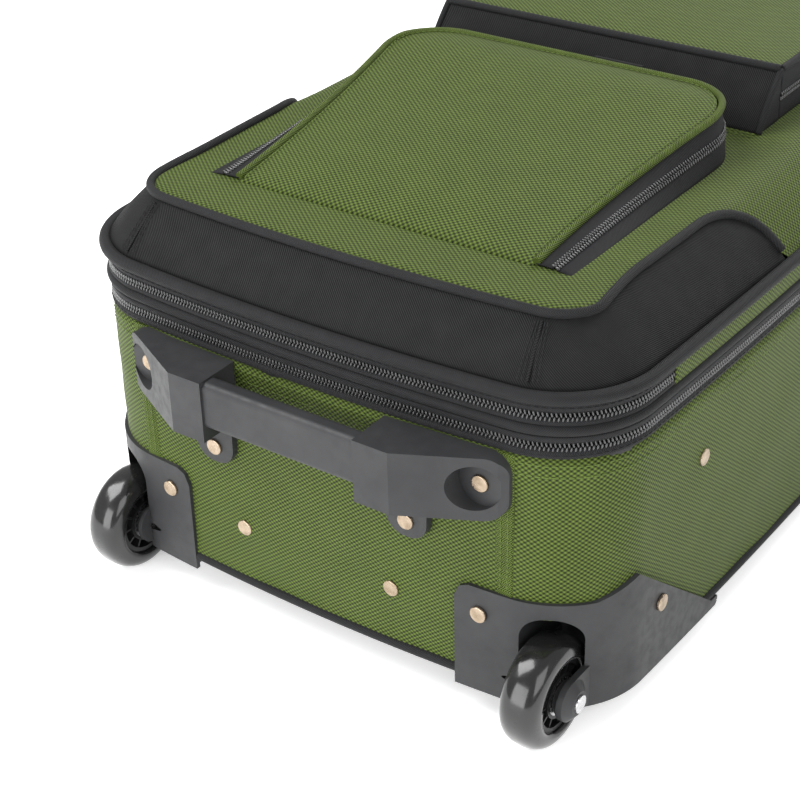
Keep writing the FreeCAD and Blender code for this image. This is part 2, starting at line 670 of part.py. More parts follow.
def build_pull_handle():
    outer_end = "top_y - wall - gap"
    keep("handle_outer_tubes", group(*both(tube("tube_x", "tube_start", outer_end, "0",
                                                "tube_wall"))))
    step = "(tube_wall + gap)"
    keep("handle_stage_1", group(*both(tube("tube_x", "tube_start + stage_step",
                                            "top_y + bezel_proud", step, "1"))))
    keep("handle_stage_2", group(*both(tube("tube_x", "tube_start + 2 * stage_step",
                                            "grip_start", f"{step} + 1 + gap", "1", True))))
    bezel = block("bezel_block", "-bezel_half_width", "bezel_half_width",
                  "top_y - wall", "top_y + bezel_proud", "bezel_low", "bezel_high")
    fillet(bezel, bezel.Tip, "5", along("y"))
    through = "(tube_wide / 2 - tube_wall - gap + gap)"
    high = "(tube_thick / 2 - tube_wall - gap + gap)"
    hole = box(f"tube_x - {through}", f"tube_x + {through}", "case_length - 30",
               "top_y + 30", f"tube_z - {high}", f"tube_z + {high}")
    keep("handle_bezel", common(cut(bezel, hole, mirror(hole)), cut(
        box("-bezel_half_width", "bezel_half_width", "case_length - 20", "case_length + 60",
            "0", "60"), cut(slab("bezel_envelope", "-1", "shell_depth", "-0.02"),
                            tunnel_exit("0")))))
    bracket = prism("bracket_view", "YZ_Plane", "-tube_x - tube_wide / 2 - 6",
                    "2 * tube_x + tube_wide + 12", [
                        ("wall + gap", "wall + 2 * gap + board"),
                        ("tube_start - gap", "wall + 2 * gap + board"),
                        ("tube_start - gap", "floor_z - 2 * gap"),
                        ("wall + gap", "floor_z - 2 * gap")])
    keep("tube_foot_bracket", bracket)
    tunnel = block("tunnel_shell", "-tunnel_half_width", "tunnel_half_width",
                   "tube_start + gap", "case_length - wall - gap",
                   "wall + 2 * gap + board", "floor_z - gap")
    hollow = box("-tunnel_half_width + 1.5", "tunnel_half_width - 1.5", "-50",
                 "case_length + 50", "0", "floor_z - gap - 1.5")
    keep("tunnel_cover", cut(tunnel, hollow))
    grip = block("grip_block", "-grip_half_width", "grip_half_width", "grip_start",
                 "grip_end", "grip_low", "grip_high")
    fillet(grip, grip.Tip, "6", lambda edge: (
        along("x")(edge) and edge.BoundBox.YMin > value("grip_end") - 1))
    fillet(grip, grip.Tip, "4", lambda edge: (
        along("z")(edge) and edge.BoundBox.YMin > value("grip_start") - 1
        and edge.BoundBox.YMax > value("grip_end") - 8))
    well = box("-button_half_width - gap", "button_half_width + gap",
               "grip_end - button_depth - button_travel - gap", "grip_end + 20",
               "tube_z - button_half_height - gap", "tube_z + button_half_height + gap")
    keep("pull_grip", cut(grip, well))
    button = block("button_block", "-button_half_width", "button_half_width",
                   "grip_end - button_depth", "grip_end + button_proud",
                   "tube_z - button_half_height", "tube_z + button_half_height")
    fillet(button, button.Tip, "1.5", lambda edge: (
        edge.BoundBox.YMin > value("grip_end + button_proud") - 0.1))
    keep("release_button", button)


# ---- carry handles ----------------------------------------------------------------------

def build_carry_handles():
    low, high = "carry_z - carry_width / 2", "carry_z + carry_width / 2"
    inner = "(carry_half_span - carry_cap)"
    caps = []
    for side in ("-", ""):
        x0, x1 = ((f"-carry_half_span", f"-{inner}") if side else (inner, "carry_half_span"))
        cap = box(x0, x1, "case_length - 20", "top_y + carry_rise + carry_thick", low, high)
        caps.append(rounded(cap, "4", lambda edge: edge.BoundBox.YMin
                            > value("top_y + carry_rise + carry_thick") - 0.1))
    strap = block("top_strap", f"-{inner} + gap", f"{inner} - gap", "top_y + carry_rise",
                  "top_y + carry_rise + carry_thick - 1", f"{low} + 2", f"{high} - 2")
    fillet(strap, strap.Tip, "2.5", along("x"))
    keep("top_carry_grip", strap)
    out = "(half_width + side_bow + carry_rise + carry_thick)"
    for y0, y1 in (("side_carry_y - carry_half_span", f"side_carry_y - {inner}"),
                   (f"side_carry_y + {inner}", "side_carry_y + carry_half_span")):
        cap = box(f"-{out}", "-half_width + 20", y0, y1, low, high)
        caps.append(rounded(cap, "4",
                            lambda edge: edge.BoundBox.XMax < -value(out) + 0.1))
    keep("carry_handle_caps", cut(group(*caps), slab("carry_envelope", "0", "shell_depth",
                                                     "-gap / 2")))
    strap = block("side_strap", f"-{out} + 1", f"-{out} + carry_thick",
                  f"side_carry_y - {inner} + gap", f"side_carry_y + {inner} - gap",
                  f"{low} + 2", f"{high} - 2")
    fillet(strap, strap.Tip, "2.5", along("y"))
    keep("side_carry_grip", strap)


# ---- expansion frame ---------------------------------------------------------------------

def hinge_zone(z0, z1):
    """The stretch of the hinge side between the two ends of the main zip."""
    return box("half_width - 30", FAR, "hinge_start", "hinge_end", z0, z1)


def build_front_frame():
    keep("expansion_zip_upper", ring("upper_tape", "expansion_split", "band_top", "0", "wall"))
    keep("welt", ring("welt_band", "band_top", "welt_top", "-welt_proud", "wall"))
    band = ring("main_tape_low", "welt_top", "split_z - gap", "0", "wall")
    keep("main_zip_lower", cut(band, hinge_zone("0", "400")))
    band = ring("hinge_low", "welt_top", "split_z - gap", "0", "wall")
    keep("hinge_strip_lower", common(band, hinge_zone("0", "400")))
    keep("frame_hoop", ring("front_hoop", "welt_top - hoop_height", "welt_top",
                            "wall + 0.02", "wall + hoop"))


# ---- lid and its pockets -----------------------------------------------------------------

def build_lid():
    tape = ring("main_tape_high", "split_z", "skirt_start", "0", "wall")
    keep("main_zip_upper", cut(tape, hinge_zone("0", "400")))
    tape = ring("hinge_high", "split_z", "skirt_start", "0", "wall")
    keep("hinge_strip_upper", common(tape, hinge_zone("0", "400")))
    keep("outer_piping", ring("outer_cord", "skirt_start", "piping_top", "-piping_proud",
                              "skirt_inset - 0.02"))
    band = new_body("lid_band_loft")
    base = sketch_on(band, "XY_Plane", "skirt_start")
    outline(base, "skirt_inset")
    pad(band, base, "piping_top - skirt_start")
    lower = sketch_on(band, "XY_Plane", "piping_top")
    outline(lower, "skirt_inset")
    upper = sketch_on(band, "XY_Plane", "slope_top")
    outline(upper, "skirt_inset + lid_slope_inset")
    slope = band.newObject("PartDesign::AdditiveLoft", "slope")
    slope.Profile = lower
    slope.Sections = [upper]
    slope.Ruled = True
    hollow = sketch_on(band, "XY_Plane", "skirt_start")
    outline(hollow, "skirt_inset + wall")
    pocket(band, hollow, "piping_top - skirt_start", True)
    low_in = sketch_on(band, "XY_Plane", "piping_top")
    outline(low_in, "skirt_inset + wall")
    high_in = sketch_on(band, "XY_Plane", "slope_top")
    outline(high_in, "skirt_inset + lid_slope_inset + wall")
    inside = band.newObject("PartDesign::SubtractiveLoft", "inside")
    inside.Profile = low_in
    inside.Sections = [high_in]
    inside.Ruled = True
    keep("lid_band", band)
    edge = "(skirt_inset + lid_slope_inset)"
    keep("inner_piping", ring("inner_cord", "slope_top", "slope_top + face_piping",
                              f"{edge} - 1", f"{edge} + wall + 1"))
    keep("front_panel", slab("panel_sheet", "panel_top - panel_thickness", "panel_top",
                             f"{edge} + wall + 1.02"))
    keep("lid_lining", slab("lid_lining_sheet", "panel_top - panel_thickness - gap - 2",
                            "panel_top - panel_thickness - gap", f"{edge} + wall + 1.5"))


def pocket_plan(name, z0, rise, half, start, end, corner, inset):
    """A pocket's plan: square at the near seam and rounded at the far corners."""
    body = prism(name, "XY_Plane", z0, rise, [
        (f"-{half} + ({inset})", f"{start} + ({inset})"),
        (f"{half} - ({inset})", f"{start} + ({inset})"),
        (f"{half} - ({inset})", f"{end} - ({inset})"),
        (f"-{half} + ({inset})", f"{end} - ({inset})")])
    limit = value(f"{end} - ({inset})") - 1
    return_tip = fillet(body, body.Tip, f"{corner} - ({inset})", lambda edge: (
        along("z")(edge) and edge.BoundBox.YMax > limit))
    body.Tip = return_tip
    return body


def side_view(name, half, corners):
    return prism(name, "YZ_Plane", f"-({half}) - 5", f"2 * ({half}) + 10", corners)


def hollowed(name, plan, outer, room):
    """A pocket piece: the plan cut to a side view, less the room inside its walls."""
    half = plan[0]
    solid = common(pocket_plan(f"{name}_plan", "face_z", "80", *plan, "0"),
                   side_view(f"{name}_side", half, outer))
    void = common(pocket_plan(f"{name}_void", "face_z - 1", "90", *plan, "pocket_wall"),
                  side_view(f"{name}_room", half, room))
    keep(name, cut(solid, void))


def build_pockets():
    start, end = "pocket_start", "pocket_end"
    plan = ("pocket_half_width", start, end, "pocket_round")
    zip_z, top = "face_z + pocket_zip_rise", "face_z + pocket_rise"
    hollowed("lower_pocket_gusset", plan,
             [(start, "face_z"), (end, "face_z"), (end, zip_z)],
             [(start, "face_z - 5"), (f"{end} + 9", "face_z - 5"), (f"{end} + 9", f"{top} + 9"),
              (start, f"{top} + 9")])
    hollowed("lower_pocket_flap", plan,
             [(start, "face_z + gap"), (f"{end} + 1", f"{zip_z} + gap"), (f"{end} + 1", top),
              (f"{end} - 20", top), (start, "face_z + 2.5")],
             [(f"{start} + 6", "face_z - 5"), (f"{end} + 1", "face_z - 5"),
              (f"{end} + 1", f"{top} - panel_skin"), (f"{end} - 20", f"{top} - panel_skin"),
              (f"{start} + 6", "face_z + 0.8")])
    start, end = "upper_start", "upper_end"
    plan = ("upper_half_width", start, end, "upper_round")
    zip_z, top = "face_z + upper_zip_rise", "face_z + upper_rise"
    crest, behind = "upper_start + upper_slope", "upper_start + upper_slope + pocket_wall + 1"
    under = f"{top} - panel_skin - gap"
    hollowed("upper_pocket_gusset", plan,
             [(start, "face_z"), (f"{end} + 1", "face_z"), (f"{end} + 1", zip_z),
              (behind, zip_z), (behind, under), (crest, under)],
             [(f"{start} + 4", "face_z - 1"), (f"{behind} - 0.1", f"{under} - 3"),
              (f"{behind} + 0.1", f"{top} + 5"), (f"{end} + 2", f"{top} + 5"),
              (f"{end} + 2", "face_z - 1")])
    hollowed("upper_pocket_flap", plan,
             [(f"{behind} + gap", f"{zip_z} + gap"), (f"{end} + 1", f"{zip_z} + gap"),
              (f"{end} + 1", top), (crest, top), (crest, f"{top} - panel_skin"),
              (f"{behind} + gap", f"{top} - panel_skin")],
             [(behind, f"{zip_z} - 5"), (f"{end} + 1", f"{zip_z} - 5"),
              (f"{end} + 1", f"{top} - panel_skin"), (behind, f"{top} - panel_skin")])


# ---- zip sliders and pullers --------------------------------------------------------------

def placer(out, face, across, along_at, way):
    """Gives a box maker for a slider's own directions.

    out is the axis and sign that the slider faces, face the level of the coil's face, across
    the coil's middle on the cross axis, along_at the slider's middle on the zip, and way the
    zip's axis and the cross axis.
    """
    axis, sign = out[1], -1 if out[0] == "-" else 1
    zip_axis, cross_axis = way

    def place(depth0, depth1, run0, run1, cross0, cross1):
        span = {axis: (f"{face} + {sign} * ({depth0})", f"{face} + {sign} * ({depth1})"),
                zip_axis: (f"{along_at} + ({run0})", f"{along_at} + ({run1})"),
                cross_axis: (f"{across} + ({cross0})", f"{across} + ({cross1})")}
        if sign < 0:
            span[axis] = span[axis][::-1]
        return box(*span["x"], *span["y"], *span["z"])
    return place


def slider(label, place, axis):
    """The slider's body on the coil, and the bridge that the puller hangs from."""
    half, wide, top = "slider_length / 2", "slider_width / 2", "slider_thick"
    body = rounded(place("gap", top, f"-{half}", half, f"-{wide}", wide), "1.2", along(axis))
    legs = [place(f"{top} - 0.5", f"{top} + bail", run0, run1, "-1.2", "1.2")
            for run0, run1 in ((f"-{half} + 1", f"-{half} + 2.6"), (f"{half} - 2.6", f"{half} - 1"))]
    roof = place(f"{top} + bail - 0.1", f"{top} + bail + 1.2", f"-{half} + 1", f"{half} - 1",
                 "-1.2", "1.2")
    keep(f"{label}_slider", fuse(body, *legs, roof))


def build_side_zip(label, z, y):
    """A slider on the -X side; its puller lies along the zip on a bar under the bridge."""
    place = placer("-x", "-(half_width + side_bow)", z, y, ("y", "z"))
    slider(label, place, "x")
    deep = "(slider_thick + bail / 2)"
    bar = cylinder("eye_wire", "4", f"-(half_width + side_bow) - {deep}", y, f"{z} - 2", "z")
    strips = [place(f"{deep} - eye_wire", f"{deep} + eye_wire", "-eye_wire", "eye_length",
                    low, high) for low, high in (("1.7", "3.3"), ("-3.3", "-1.7"))]
    plate = place(f"{deep} - puller_thick / 2", f"{deep} + puller_thick / 2",
                  "eye_length - 0.5", "puller_length", "-puller_width / 2", "puller_width / 2")
    keep(f"{label}_puller", fuse(bar, *strips, plate))


def build_pocket_zip(label, y, z, x):
    """A slider on a pocket's far side; a wire ring round its bridge carries a webbing tab."""
    place = placer("+y", y, z, x, ("x", "z"))
    slider(label, place, "y")
    loop = doc.addObject("Part::Torus", "Ring")
    loop.Placement = FreeCAD.Placement(FreeCAD.Vector(), TURNS["x"])
    bind(loop, "Radius1", "loop_radius")
    bind(loop, "Radius2", "eye_wire")
    move(loop, x, f"{y} + slider_thick + bail / 2 + loop_radius", z)
    far = "(slider_thick + bail / 2 + 2 * loop_radius)"
    tab = place(f"{far} - tab_thick / 2", f"{far} + tab_thick / 2", "-tab_length + 3", "3",
                "-tab_width / 2 + tab_raise", "tab_width / 2 + tab_raise")
    keep(f"{label}_puller", fuse(loop, tab))


def build_zips():
    build_side_zip("main_zip_a", "split_z - gap / 2", "main_slider_y")
    build_side_zip("main_zip_b", "split_z - gap / 2", "main_slider_y + slider_spacing")
    build_side_zip("expansion_zip", "expansion_split - gap / 2", "expansion_slider_y")
    build_pocket_zip("lower_pocket", "pocket_end", "face_z + pocket_zip_rise - 1",
                     "pocket_slider_x")
    build_pocket_zip("upper_pocket", "upper_end", "face_z + upper_zip_rise - 1",
                     "upper_slider_x")


build_case()
build_straps()
build_corners()
wheel("right")
wheel("left")
build_foot_handle()
build_pull_handle()
build_carry_handles()
build_front_frame()
build_lid()
build_pockets()
build_zips()

# ---- check and write ---------------------------------------------------------------------

doc.recompute()
faults = [item.Name for item in doc.Objects
          if "Invalid" in item.State or "Error" in item.State]
for label, item in parts.items():
    if item.Shape.isNull() or not item.Shape.isValid() or not item.Shape.Solids:
        faults.append(label)
if faults:
    raise SystemExit(f"failed objects: {faults}")
os.makedirs("parts", exist_ok=True)
for label, item in parts.items():
    item.Shape.exportStep(os.path.join("parts", f"{label}.step"))
print(f"{len(parts)} sub-parts written")
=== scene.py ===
import math
import bmesh
import bpy
import numpy as np
from mathutils import Matrix, Vector


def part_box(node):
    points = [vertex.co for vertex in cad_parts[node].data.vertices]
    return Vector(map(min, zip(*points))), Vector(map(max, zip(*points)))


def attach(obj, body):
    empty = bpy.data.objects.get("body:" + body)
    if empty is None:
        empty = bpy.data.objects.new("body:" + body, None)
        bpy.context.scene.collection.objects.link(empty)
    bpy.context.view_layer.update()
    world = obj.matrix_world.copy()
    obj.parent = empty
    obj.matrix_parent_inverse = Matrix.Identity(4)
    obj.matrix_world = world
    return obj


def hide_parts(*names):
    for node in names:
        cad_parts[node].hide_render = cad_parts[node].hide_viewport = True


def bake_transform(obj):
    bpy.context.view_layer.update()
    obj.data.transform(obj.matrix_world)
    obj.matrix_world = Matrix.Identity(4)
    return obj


# Softside upright suitcase: cloth, pipings, zips, wheels and finishes round the CAD frame.
# Everything is laid out in the case's own millimetres: x across, y from the wheel end, z from
# the back panel. place() turns those into the frame's metres.

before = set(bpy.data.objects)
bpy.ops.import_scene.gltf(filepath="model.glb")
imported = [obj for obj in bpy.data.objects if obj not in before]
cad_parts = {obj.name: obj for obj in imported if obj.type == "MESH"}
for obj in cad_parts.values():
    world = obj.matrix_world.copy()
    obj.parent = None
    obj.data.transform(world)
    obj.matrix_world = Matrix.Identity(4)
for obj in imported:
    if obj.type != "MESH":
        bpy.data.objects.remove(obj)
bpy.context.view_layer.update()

MM = 0.001
CORNER, SIDE_BOW, END_BOW = 54, 4, 5
shell_low, shell_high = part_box("main_shell")
ORIGIN = np.array([(shell_low.x + shell_high.x) / 2, shell_low.y, shell_low.z]) / MM
ORIGIN[1] += END_BOW
HALF = (shell_high.x - shell_low.x) / 2 / MM - SIDE_BOW
LENGTH = (shell_high.y - shell_low.y) / MM - 2 * END_BOW


def case_box(node):
    """Low and high corners of a CAD node's box, in the case's millimetres."""
    low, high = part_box(node)
    return np.array(low) / MM - ORIGIN, np.array(high) / MM - ORIGIN


def levels(node):
    """Lowest and highest z of a CAD node, in the case's millimetres."""
    low, high = case_box(node)
    return low[2], high[2]


SHELL_TOP = levels("main_shell")[1]
EXPANSION_SPLIT = levels("expansion_zip_lower")[1]
BAND_TOP = levels("expansion_zip_upper")[1]
WELT_TOP = levels("welt")[1]
SPLIT = levels("main_zip_lower")[1]
SKIRT_TOP = levels("main_zip_upper")[1]
PIPING_TOP = levels("outer_piping")[1]
PANEL_TOP = levels("front_panel")[1]
FACE = levels("lower_pocket_gusset")[0]
UPPER_TOP = levels("upper_pocket_flap")[1]


def place(points):
    return (np.asarray(points, float) + ORIGIN) * MM


# ---- node helpers ------------------------------------------------------------------------

def link(thing):
    bpy.context.scene.collection.objects.link(thing)


class Tree:
    """A material with its Principled shader and short ways to add nodes."""

    def __init__(self, name, **settings):
        self.material = bpy.data.materials.new(name)
        self.material.use_nodes = True
        self.nodes = self.material.node_tree.nodes
        self.links = self.material.node_tree.links
        self.shader = self.nodes["Principled BSDF"]
        for socket, number in settings.items():
            self.shader.inputs[socket.replace("_", " ")].default_value = number

    def put(self, kind, inputs=(), **options):
        node = self.nodes.new(kind)
        for option, choice in options.items():
            setattr(node, option, choice)
        for index, source in enumerate(inputs):
            self.feed(node.inputs[index], source)
        return node

    def feed(self, socket, source):
        if isinstance(source, bpy.types.NodeSocket):
            self.links.new(source, socket)
        elif source is not None:
            socket.default_value = source

    def sum(self, operation, *inputs):
        return self.put("ShaderNodeMath", inputs, operation=operation).outputs[0]

    def ramp(self, source, *stops):
        node = self.put("ShaderNodeValToRGB", [source])
        ramp = node.color_ramp
        while len(ramp.elements) < len(stops):
            ramp.elements.new(0.5)
        for element, (spot, colour) in zip(ramp.elements, stops):
            element.position = spot
            element.color = (*colour, 1)
        return node.outputs["Color"]

    def noise(self, scale, detail=3.0, coordinate="Object"):
        where = self.put("ShaderNodeTexCoord").outputs[coordinate]
        node = self.put("ShaderNodeTexNoise", [where])
        node.inputs["Scale"].default_value = scale
        node.inputs["Detail"].default_value = detail
        return node.outputs["Fac"]

    def bump(self, height, distance, strength=1.0):
        node = self.put("ShaderNodeBump")
        node.inputs["Strength"].default_value = strength
        node.inputs["Distance"].default_value = distance
        self.links.new(height, node.inputs["Height"])
        self.links.new(node.outputs["Normal"], self.shader.inputs["Normal"])

    def colour(self, source):
        self.links.new(source, self.shader.inputs["Base Color"])

    def plane(self, coordinate):
        """The two millimetre coordinates that a weave runs along."""
        where = self.put("ShaderNodeTexCoord").outputs[coordinate]
        parts = self.put("ShaderNodeSeparateXYZ", [where])
        if coordinate == "UV":
            pair = parts.outputs[0], parts.outputs[1]
        else:
            pair = self.sum("ADD", parts.outputs[0], parts.outputs[2]), parts.outputs[1]
        return [self.sum("MULTIPLY", one, 1 / MM) for one in pair]


def wave(tree, source, pitch, turns=math.pi):
    return tree.sum("SINE", tree.sum("MULTIPLY", source, turns / pitch))


def canvas(name, dark, light, pitch=1.7, coordinate="UV"):
    """Coarse basket weave: raised nubs, dark gaps, and fine threads within each nub. The dark gaps
    are painted shade and the light nubs painted highlight; a noise adds random tone.
    """
    tree = Tree(name, Roughness=0.6, Specular_IOR_Level=0.16, Sheen_Weight=0.03)
    u, v = tree.plane(coordinate)
    over = tree.sum("MULTIPLY", wave(tree, u, pitch), wave(tree, v, pitch * 0.8))
    nub = tree.sum("ADD", tree.sum("MULTIPLY", over, 0.5), 0.5)
    thread = tree.sum("MULTIPLY", tree.sum("ABSOLUTE", wave(tree, v, pitch * 0.27)), 0.1)
    height = tree.sum("ADD", nub, thread)
    spread = tree.noise(60.0)
    painted_shade_and_tone = tree.sum("ADD", height, tree.sum("MULTIPLY", tree.sum("SUBTRACT", spread, 0.5), 0.12))
    middle = [0.62 * a + 0.38 * b for a, b in zip(dark, light)]
    # Colour by nub height: painted shade in the low gaps, painted highlight on the raised nubs,
    # plus random tone.
    tree.colour(tree.ramp(painted_shade_and_tone, (0.1, dark), (0.55, middle), (1.0, light)))
    tree.bump(height, 0.0005, 0.9)
    return tree.material


def woven(tree, height, patches, dark, light):
    """Colours a cloth by the height of its threads, painted shade in the low gaps and painted
    highlight on the raised threads, with slow random changes of tone.
    """
    spread = tree.sum("MULTIPLY", tree.sum("SUBTRACT", tree.noise(patches), 0.5), 0.3)
    # Painted shade where the threads are low, painted highlight where they are raised, plus random
    # tone.
    tree.colour(tree.ramp(tree.sum("ADD", height, spread), (0.1, dark), (0.95, light)))
    tree.bump(height, 0.0003, 0.8)
    return tree.material


def twill(name, dark, light, pitch=1.5, coordinate="UV", sheen=0.0):
    """Fine diagonal twill."""
    tree = Tree(name, Roughness=0.65, Specular_IOR_Level=0.1, Sheen_Weight=sheen)
    u, v = tree.plane(coordinate)
    diagonal = wave(tree, tree.sum("ADD", u, v), pitch, 2 * math.pi)
    cross = wave(tree, tree.sum("SUBTRACT", u, v), pitch * 0.7, 2 * math.pi)
    height = tree.sum("ADD", tree.sum("MULTIPLY", diagonal, 0.4),
                      tree.sum("MULTIPLY", cross, 0.15))
    height = tree.sum("ADD", height, 0.5)
    return woven(tree, height, 90.0, dark, light)


def herringbone(name, dark, light, pitch=1.2, width=3.5, coordinate="UV"):
    """Woven tape: ribs that slant one way and then the other across the tape's width."""
    tree = Tree(name, Roughness=0.62, Specular_IOR_Level=0.16, Sheen_Weight=0.02)
    u, v = tree.plane(coordinate)
    fold = tree.sum("PINGPONG", v, width)
    rib = wave(tree, tree.sum("ADD", u, fold), pitch, 2 * math.pi)
    height = tree.sum("ADD", tree.sum("MULTIPLY", rib, 0.4), 0.5)
    return woven(tree, height, 120.0, dark, light)


def moulded(name, dark, light, rough=0.5, grain=2600.0, coat=0.0):
    """Moulded plastic: fine grain, faint scuffs, and a little change of shade."""
    tree = Tree(name, Roughness=rough, Specular_IOR_Level=0.3, Coat_Weight=coat)
    tree.shader.inputs["Coat Roughness"].default_value = 0.12
    tree.colour(tree.ramp(tree.noise(35.0, 5.0), (0.3, dark), (0.7, light)))
    scuff = tree.put("ShaderNodeMapRange", [tree.noise(160.0, 6.0), 0.4, 0.7,
                                            rough - 0.06, rough + 0.08])
    tree.feed(tree.shader.inputs["Roughness"], scuff.outputs[0])
    tree.bump(tree.noise(grain, 2.0), 0.00004, 0.5)
    return tree.material


def metal(name, dark, light, rough=0.3):
    """Plated or anodised metal with fine handling marks."""
    tree = Tree(name, Metallic=1.0)
    tree.colour(tree.ramp(tree.noise(220.0, 5.0), (0.35, dark), (0.65, light)))
    marks = tree.put("ShaderNodeMapRange", [tree.noise(700.0, 4.0), 0.35, 0.65,
                                            rough - 0.08, rough + 0.1])
    tree.feed(tree.shader.inputs["Roughness"], marks.outputs[0])
    tree.bump(tree.noise(900.0, 3.0), 0.00002, 0.4)
    return tree.material


# In each cloth below, the dark colour is painted shade for the weave's low gaps and the light
# colour painted highlight for its raised threads.
GREEN_DARK, GREEN_LIGHT = (0.003, 0.007, 0.0005), (0.11, 0.157, 0.024)
GREEN = canvas("green canvas", GREEN_DARK, GREEN_LIGHT)
GREEN_TAPE = herringbone("green tape", GREEN_DARK, GREEN_LIGHT, 1.4, 2.6)
GREEN_THREAD = twill("green thread", (0.07, 0.105, 0.022), (0.14, 0.19, 0.055), 0.5)
BLACK = twill("black twill", (0.0005, 0.0005, 0.0006), (0.028, 0.0283, 0.0285))
TAPE = herringbone("black tape", (0.004, 0.004, 0.0045), (0.024, 0.0245, 0.026))
GUSSET = herringbone("ribbed gusset", (0.004, 0.004, 0.0045), (0.018, 0.018, 0.02), 1.1, 60.0)
THREAD = twill("black thread", (0.01, 0.01, 0.011), (0.03, 0.03, 0.032), 0.5)
WEBBING = herringbone("webbing", (0.006, 0.006, 0.006), (0.03, 0.03, 0.032), 1.5, 3.0, "Object")
LINING = twill("lining cloth", (0.05, 0.052, 0.056), (0.1, 0.102, 0.11), 1.1, "Object", 0.3)
BOARD = moulded("board", (0.02, 0.02, 0.02), (0.03, 0.03, 0.03), 0.6)
GREY = moulded("moulded grey", (0.024, 0.0245, 0.026), (0.034, 0.0345, 0.036), 0.5)
GREY_DARK = moulded("moulded black", (0.012, 0.012, 0.013), (0.02, 0.02, 0.021), 0.5)
TYRE = moulded("tyre", (0.008, 0.008, 0.008), (0.012, 0.012, 0.012), 0.22, 1200.0, 0.6)
HUB = moulded("hub", (0.008, 0.008, 0.009), (0.014, 0.014, 0.014), 0.35)
STEEL = metal("steel", (0.5, 0.5, 0.51), (0.64, 0.64, 0.65), 0.28)
TUBE = metal("anodised tube", (0.18, 0.185, 0.195), (0.28, 0.285, 0.3), 0.32)
RIVET = metal("rivet", (0.3, 0.23, 0.16), (0.44, 0.35, 0.26), 0.32)
COIL = moulded("zip coil", (0.02, 0.02, 0.021), (0.042, 0.042, 0.044), 0.2, 1500.0, 0.9)
CHROME = metal("zip metal", (0.3, 0.3, 0.31), (0.46, 0.46, 0.48), 0.22)
DARK_METAL = metal("dark zip metal", (0.05, 0.05, 0.052), (0.09, 0.09, 0.092), 0.3)
# The library slot of each cloth, zip coil and tyre, unless a piece says otherwise.
SLOTS = {GREEN: "green_canvas", GREEN_TAPE: "green_canvas", GREEN_THREAD: "green_canvas",
         BLACK: "black_twill", TAPE: "black_twill", GUSSET: "black_twill",
         THREAD: "black_twill", COIL: "zip_tape", TYRE: "tyre"}


# ---- meshes --------------------------------------------------------------------------------

def mesh_object(name, points, faces, uv, material, body, slot_name=None):
    """An object from case-millimetre points, quads or polygons, and a UV pair per corner."""
    mesh = bpy.data.meshes.new(name)
    mesh.from_pydata(place(points).tolist(), [], faces)
    layer = mesh.uv_layers.new(name="UVMap")
    layer.data.foreach_set("uv", np.asarray(uv, np.float32).ravel())
    mesh.materials.append(material)
    mesh.polygons.foreach_set("use_smooth", [True] * len(mesh.polygons))
    mesh.update()
    piece = bpy.data.objects.new(name, mesh)
    link(piece)
    if body:
        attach(piece, body)
    slot_name = slot_name or SLOTS[material]
    return piece


def grid(name, points, uv, material, body, slot_name=None, close=False, keep=None, flip=False):
    """A sheet of quads over points[u][v]; close joins the last row of u to the first."""
    points = np.asarray(points, float)
    rows, columns = points.shape[:2]
    index = np.arange(rows * columns).reshape(rows, columns)
    if close:
        index = np.vstack([index, index[:1]])
    faces, corners = [], []
    spots = points.reshape(-1, 3)
    for i in range(index.shape[0] - 1):
        for j in range(columns - 1):
            quad = [index[i, j], index[i + 1, j], index[i + 1, j + 1], index[i, j + 1]]
            if keep is not None and not keep(spots[quad].mean(0)):
                continue
            pairs = [uv[i, j], uv[i + 1, j], uv[i + 1, j + 1], uv[i, j + 1]]
            if flip:
                quad, pairs = quad[::-1], pairs[::-1]
            faces.append([int(q) for q in quad])
            corners.extend(pairs)
    return mesh_object(name, spots, faces, np.array(corners) * MM, material, body, slot_name)


def distances(path):
    """Distance travelled along a path at each of its points."""
    return np.concatenate([[0], np.cumsum(np.linalg.norm(np.diff(path, axis=0), axis=1))])


def cloth_map(along, across):
    """Cloth coordinates of a grid, from its two runs of distances."""
    return np.stack(np.meshgrid(along, across, indexing="ij"), -1)


def thicken(piece, millimetres):
    """Gives a sheet a real thickness, on its inner side."""
    solid = piece.modifiers.new("thickness", "SOLIDIFY")
    solid.thickness = millimetres * MM
    solid.offset = -1
    return piece


def ripple(along, across, size, seed=0.0):
    """Small irregular swells, the same every run."""
    return size * (np.sin(along / 17.3 + seed) * np.cos(across / 23.1 + 2 * seed)
                   + 0.6 * np.sin(along / 7.9 + across / 11.7 + 3 * seed)
                   + 0.4 * np.sin(along / 41.0 - across / 29.0 + 5 * seed))


# ---- the case's outline ----------------------------------------------------------------------

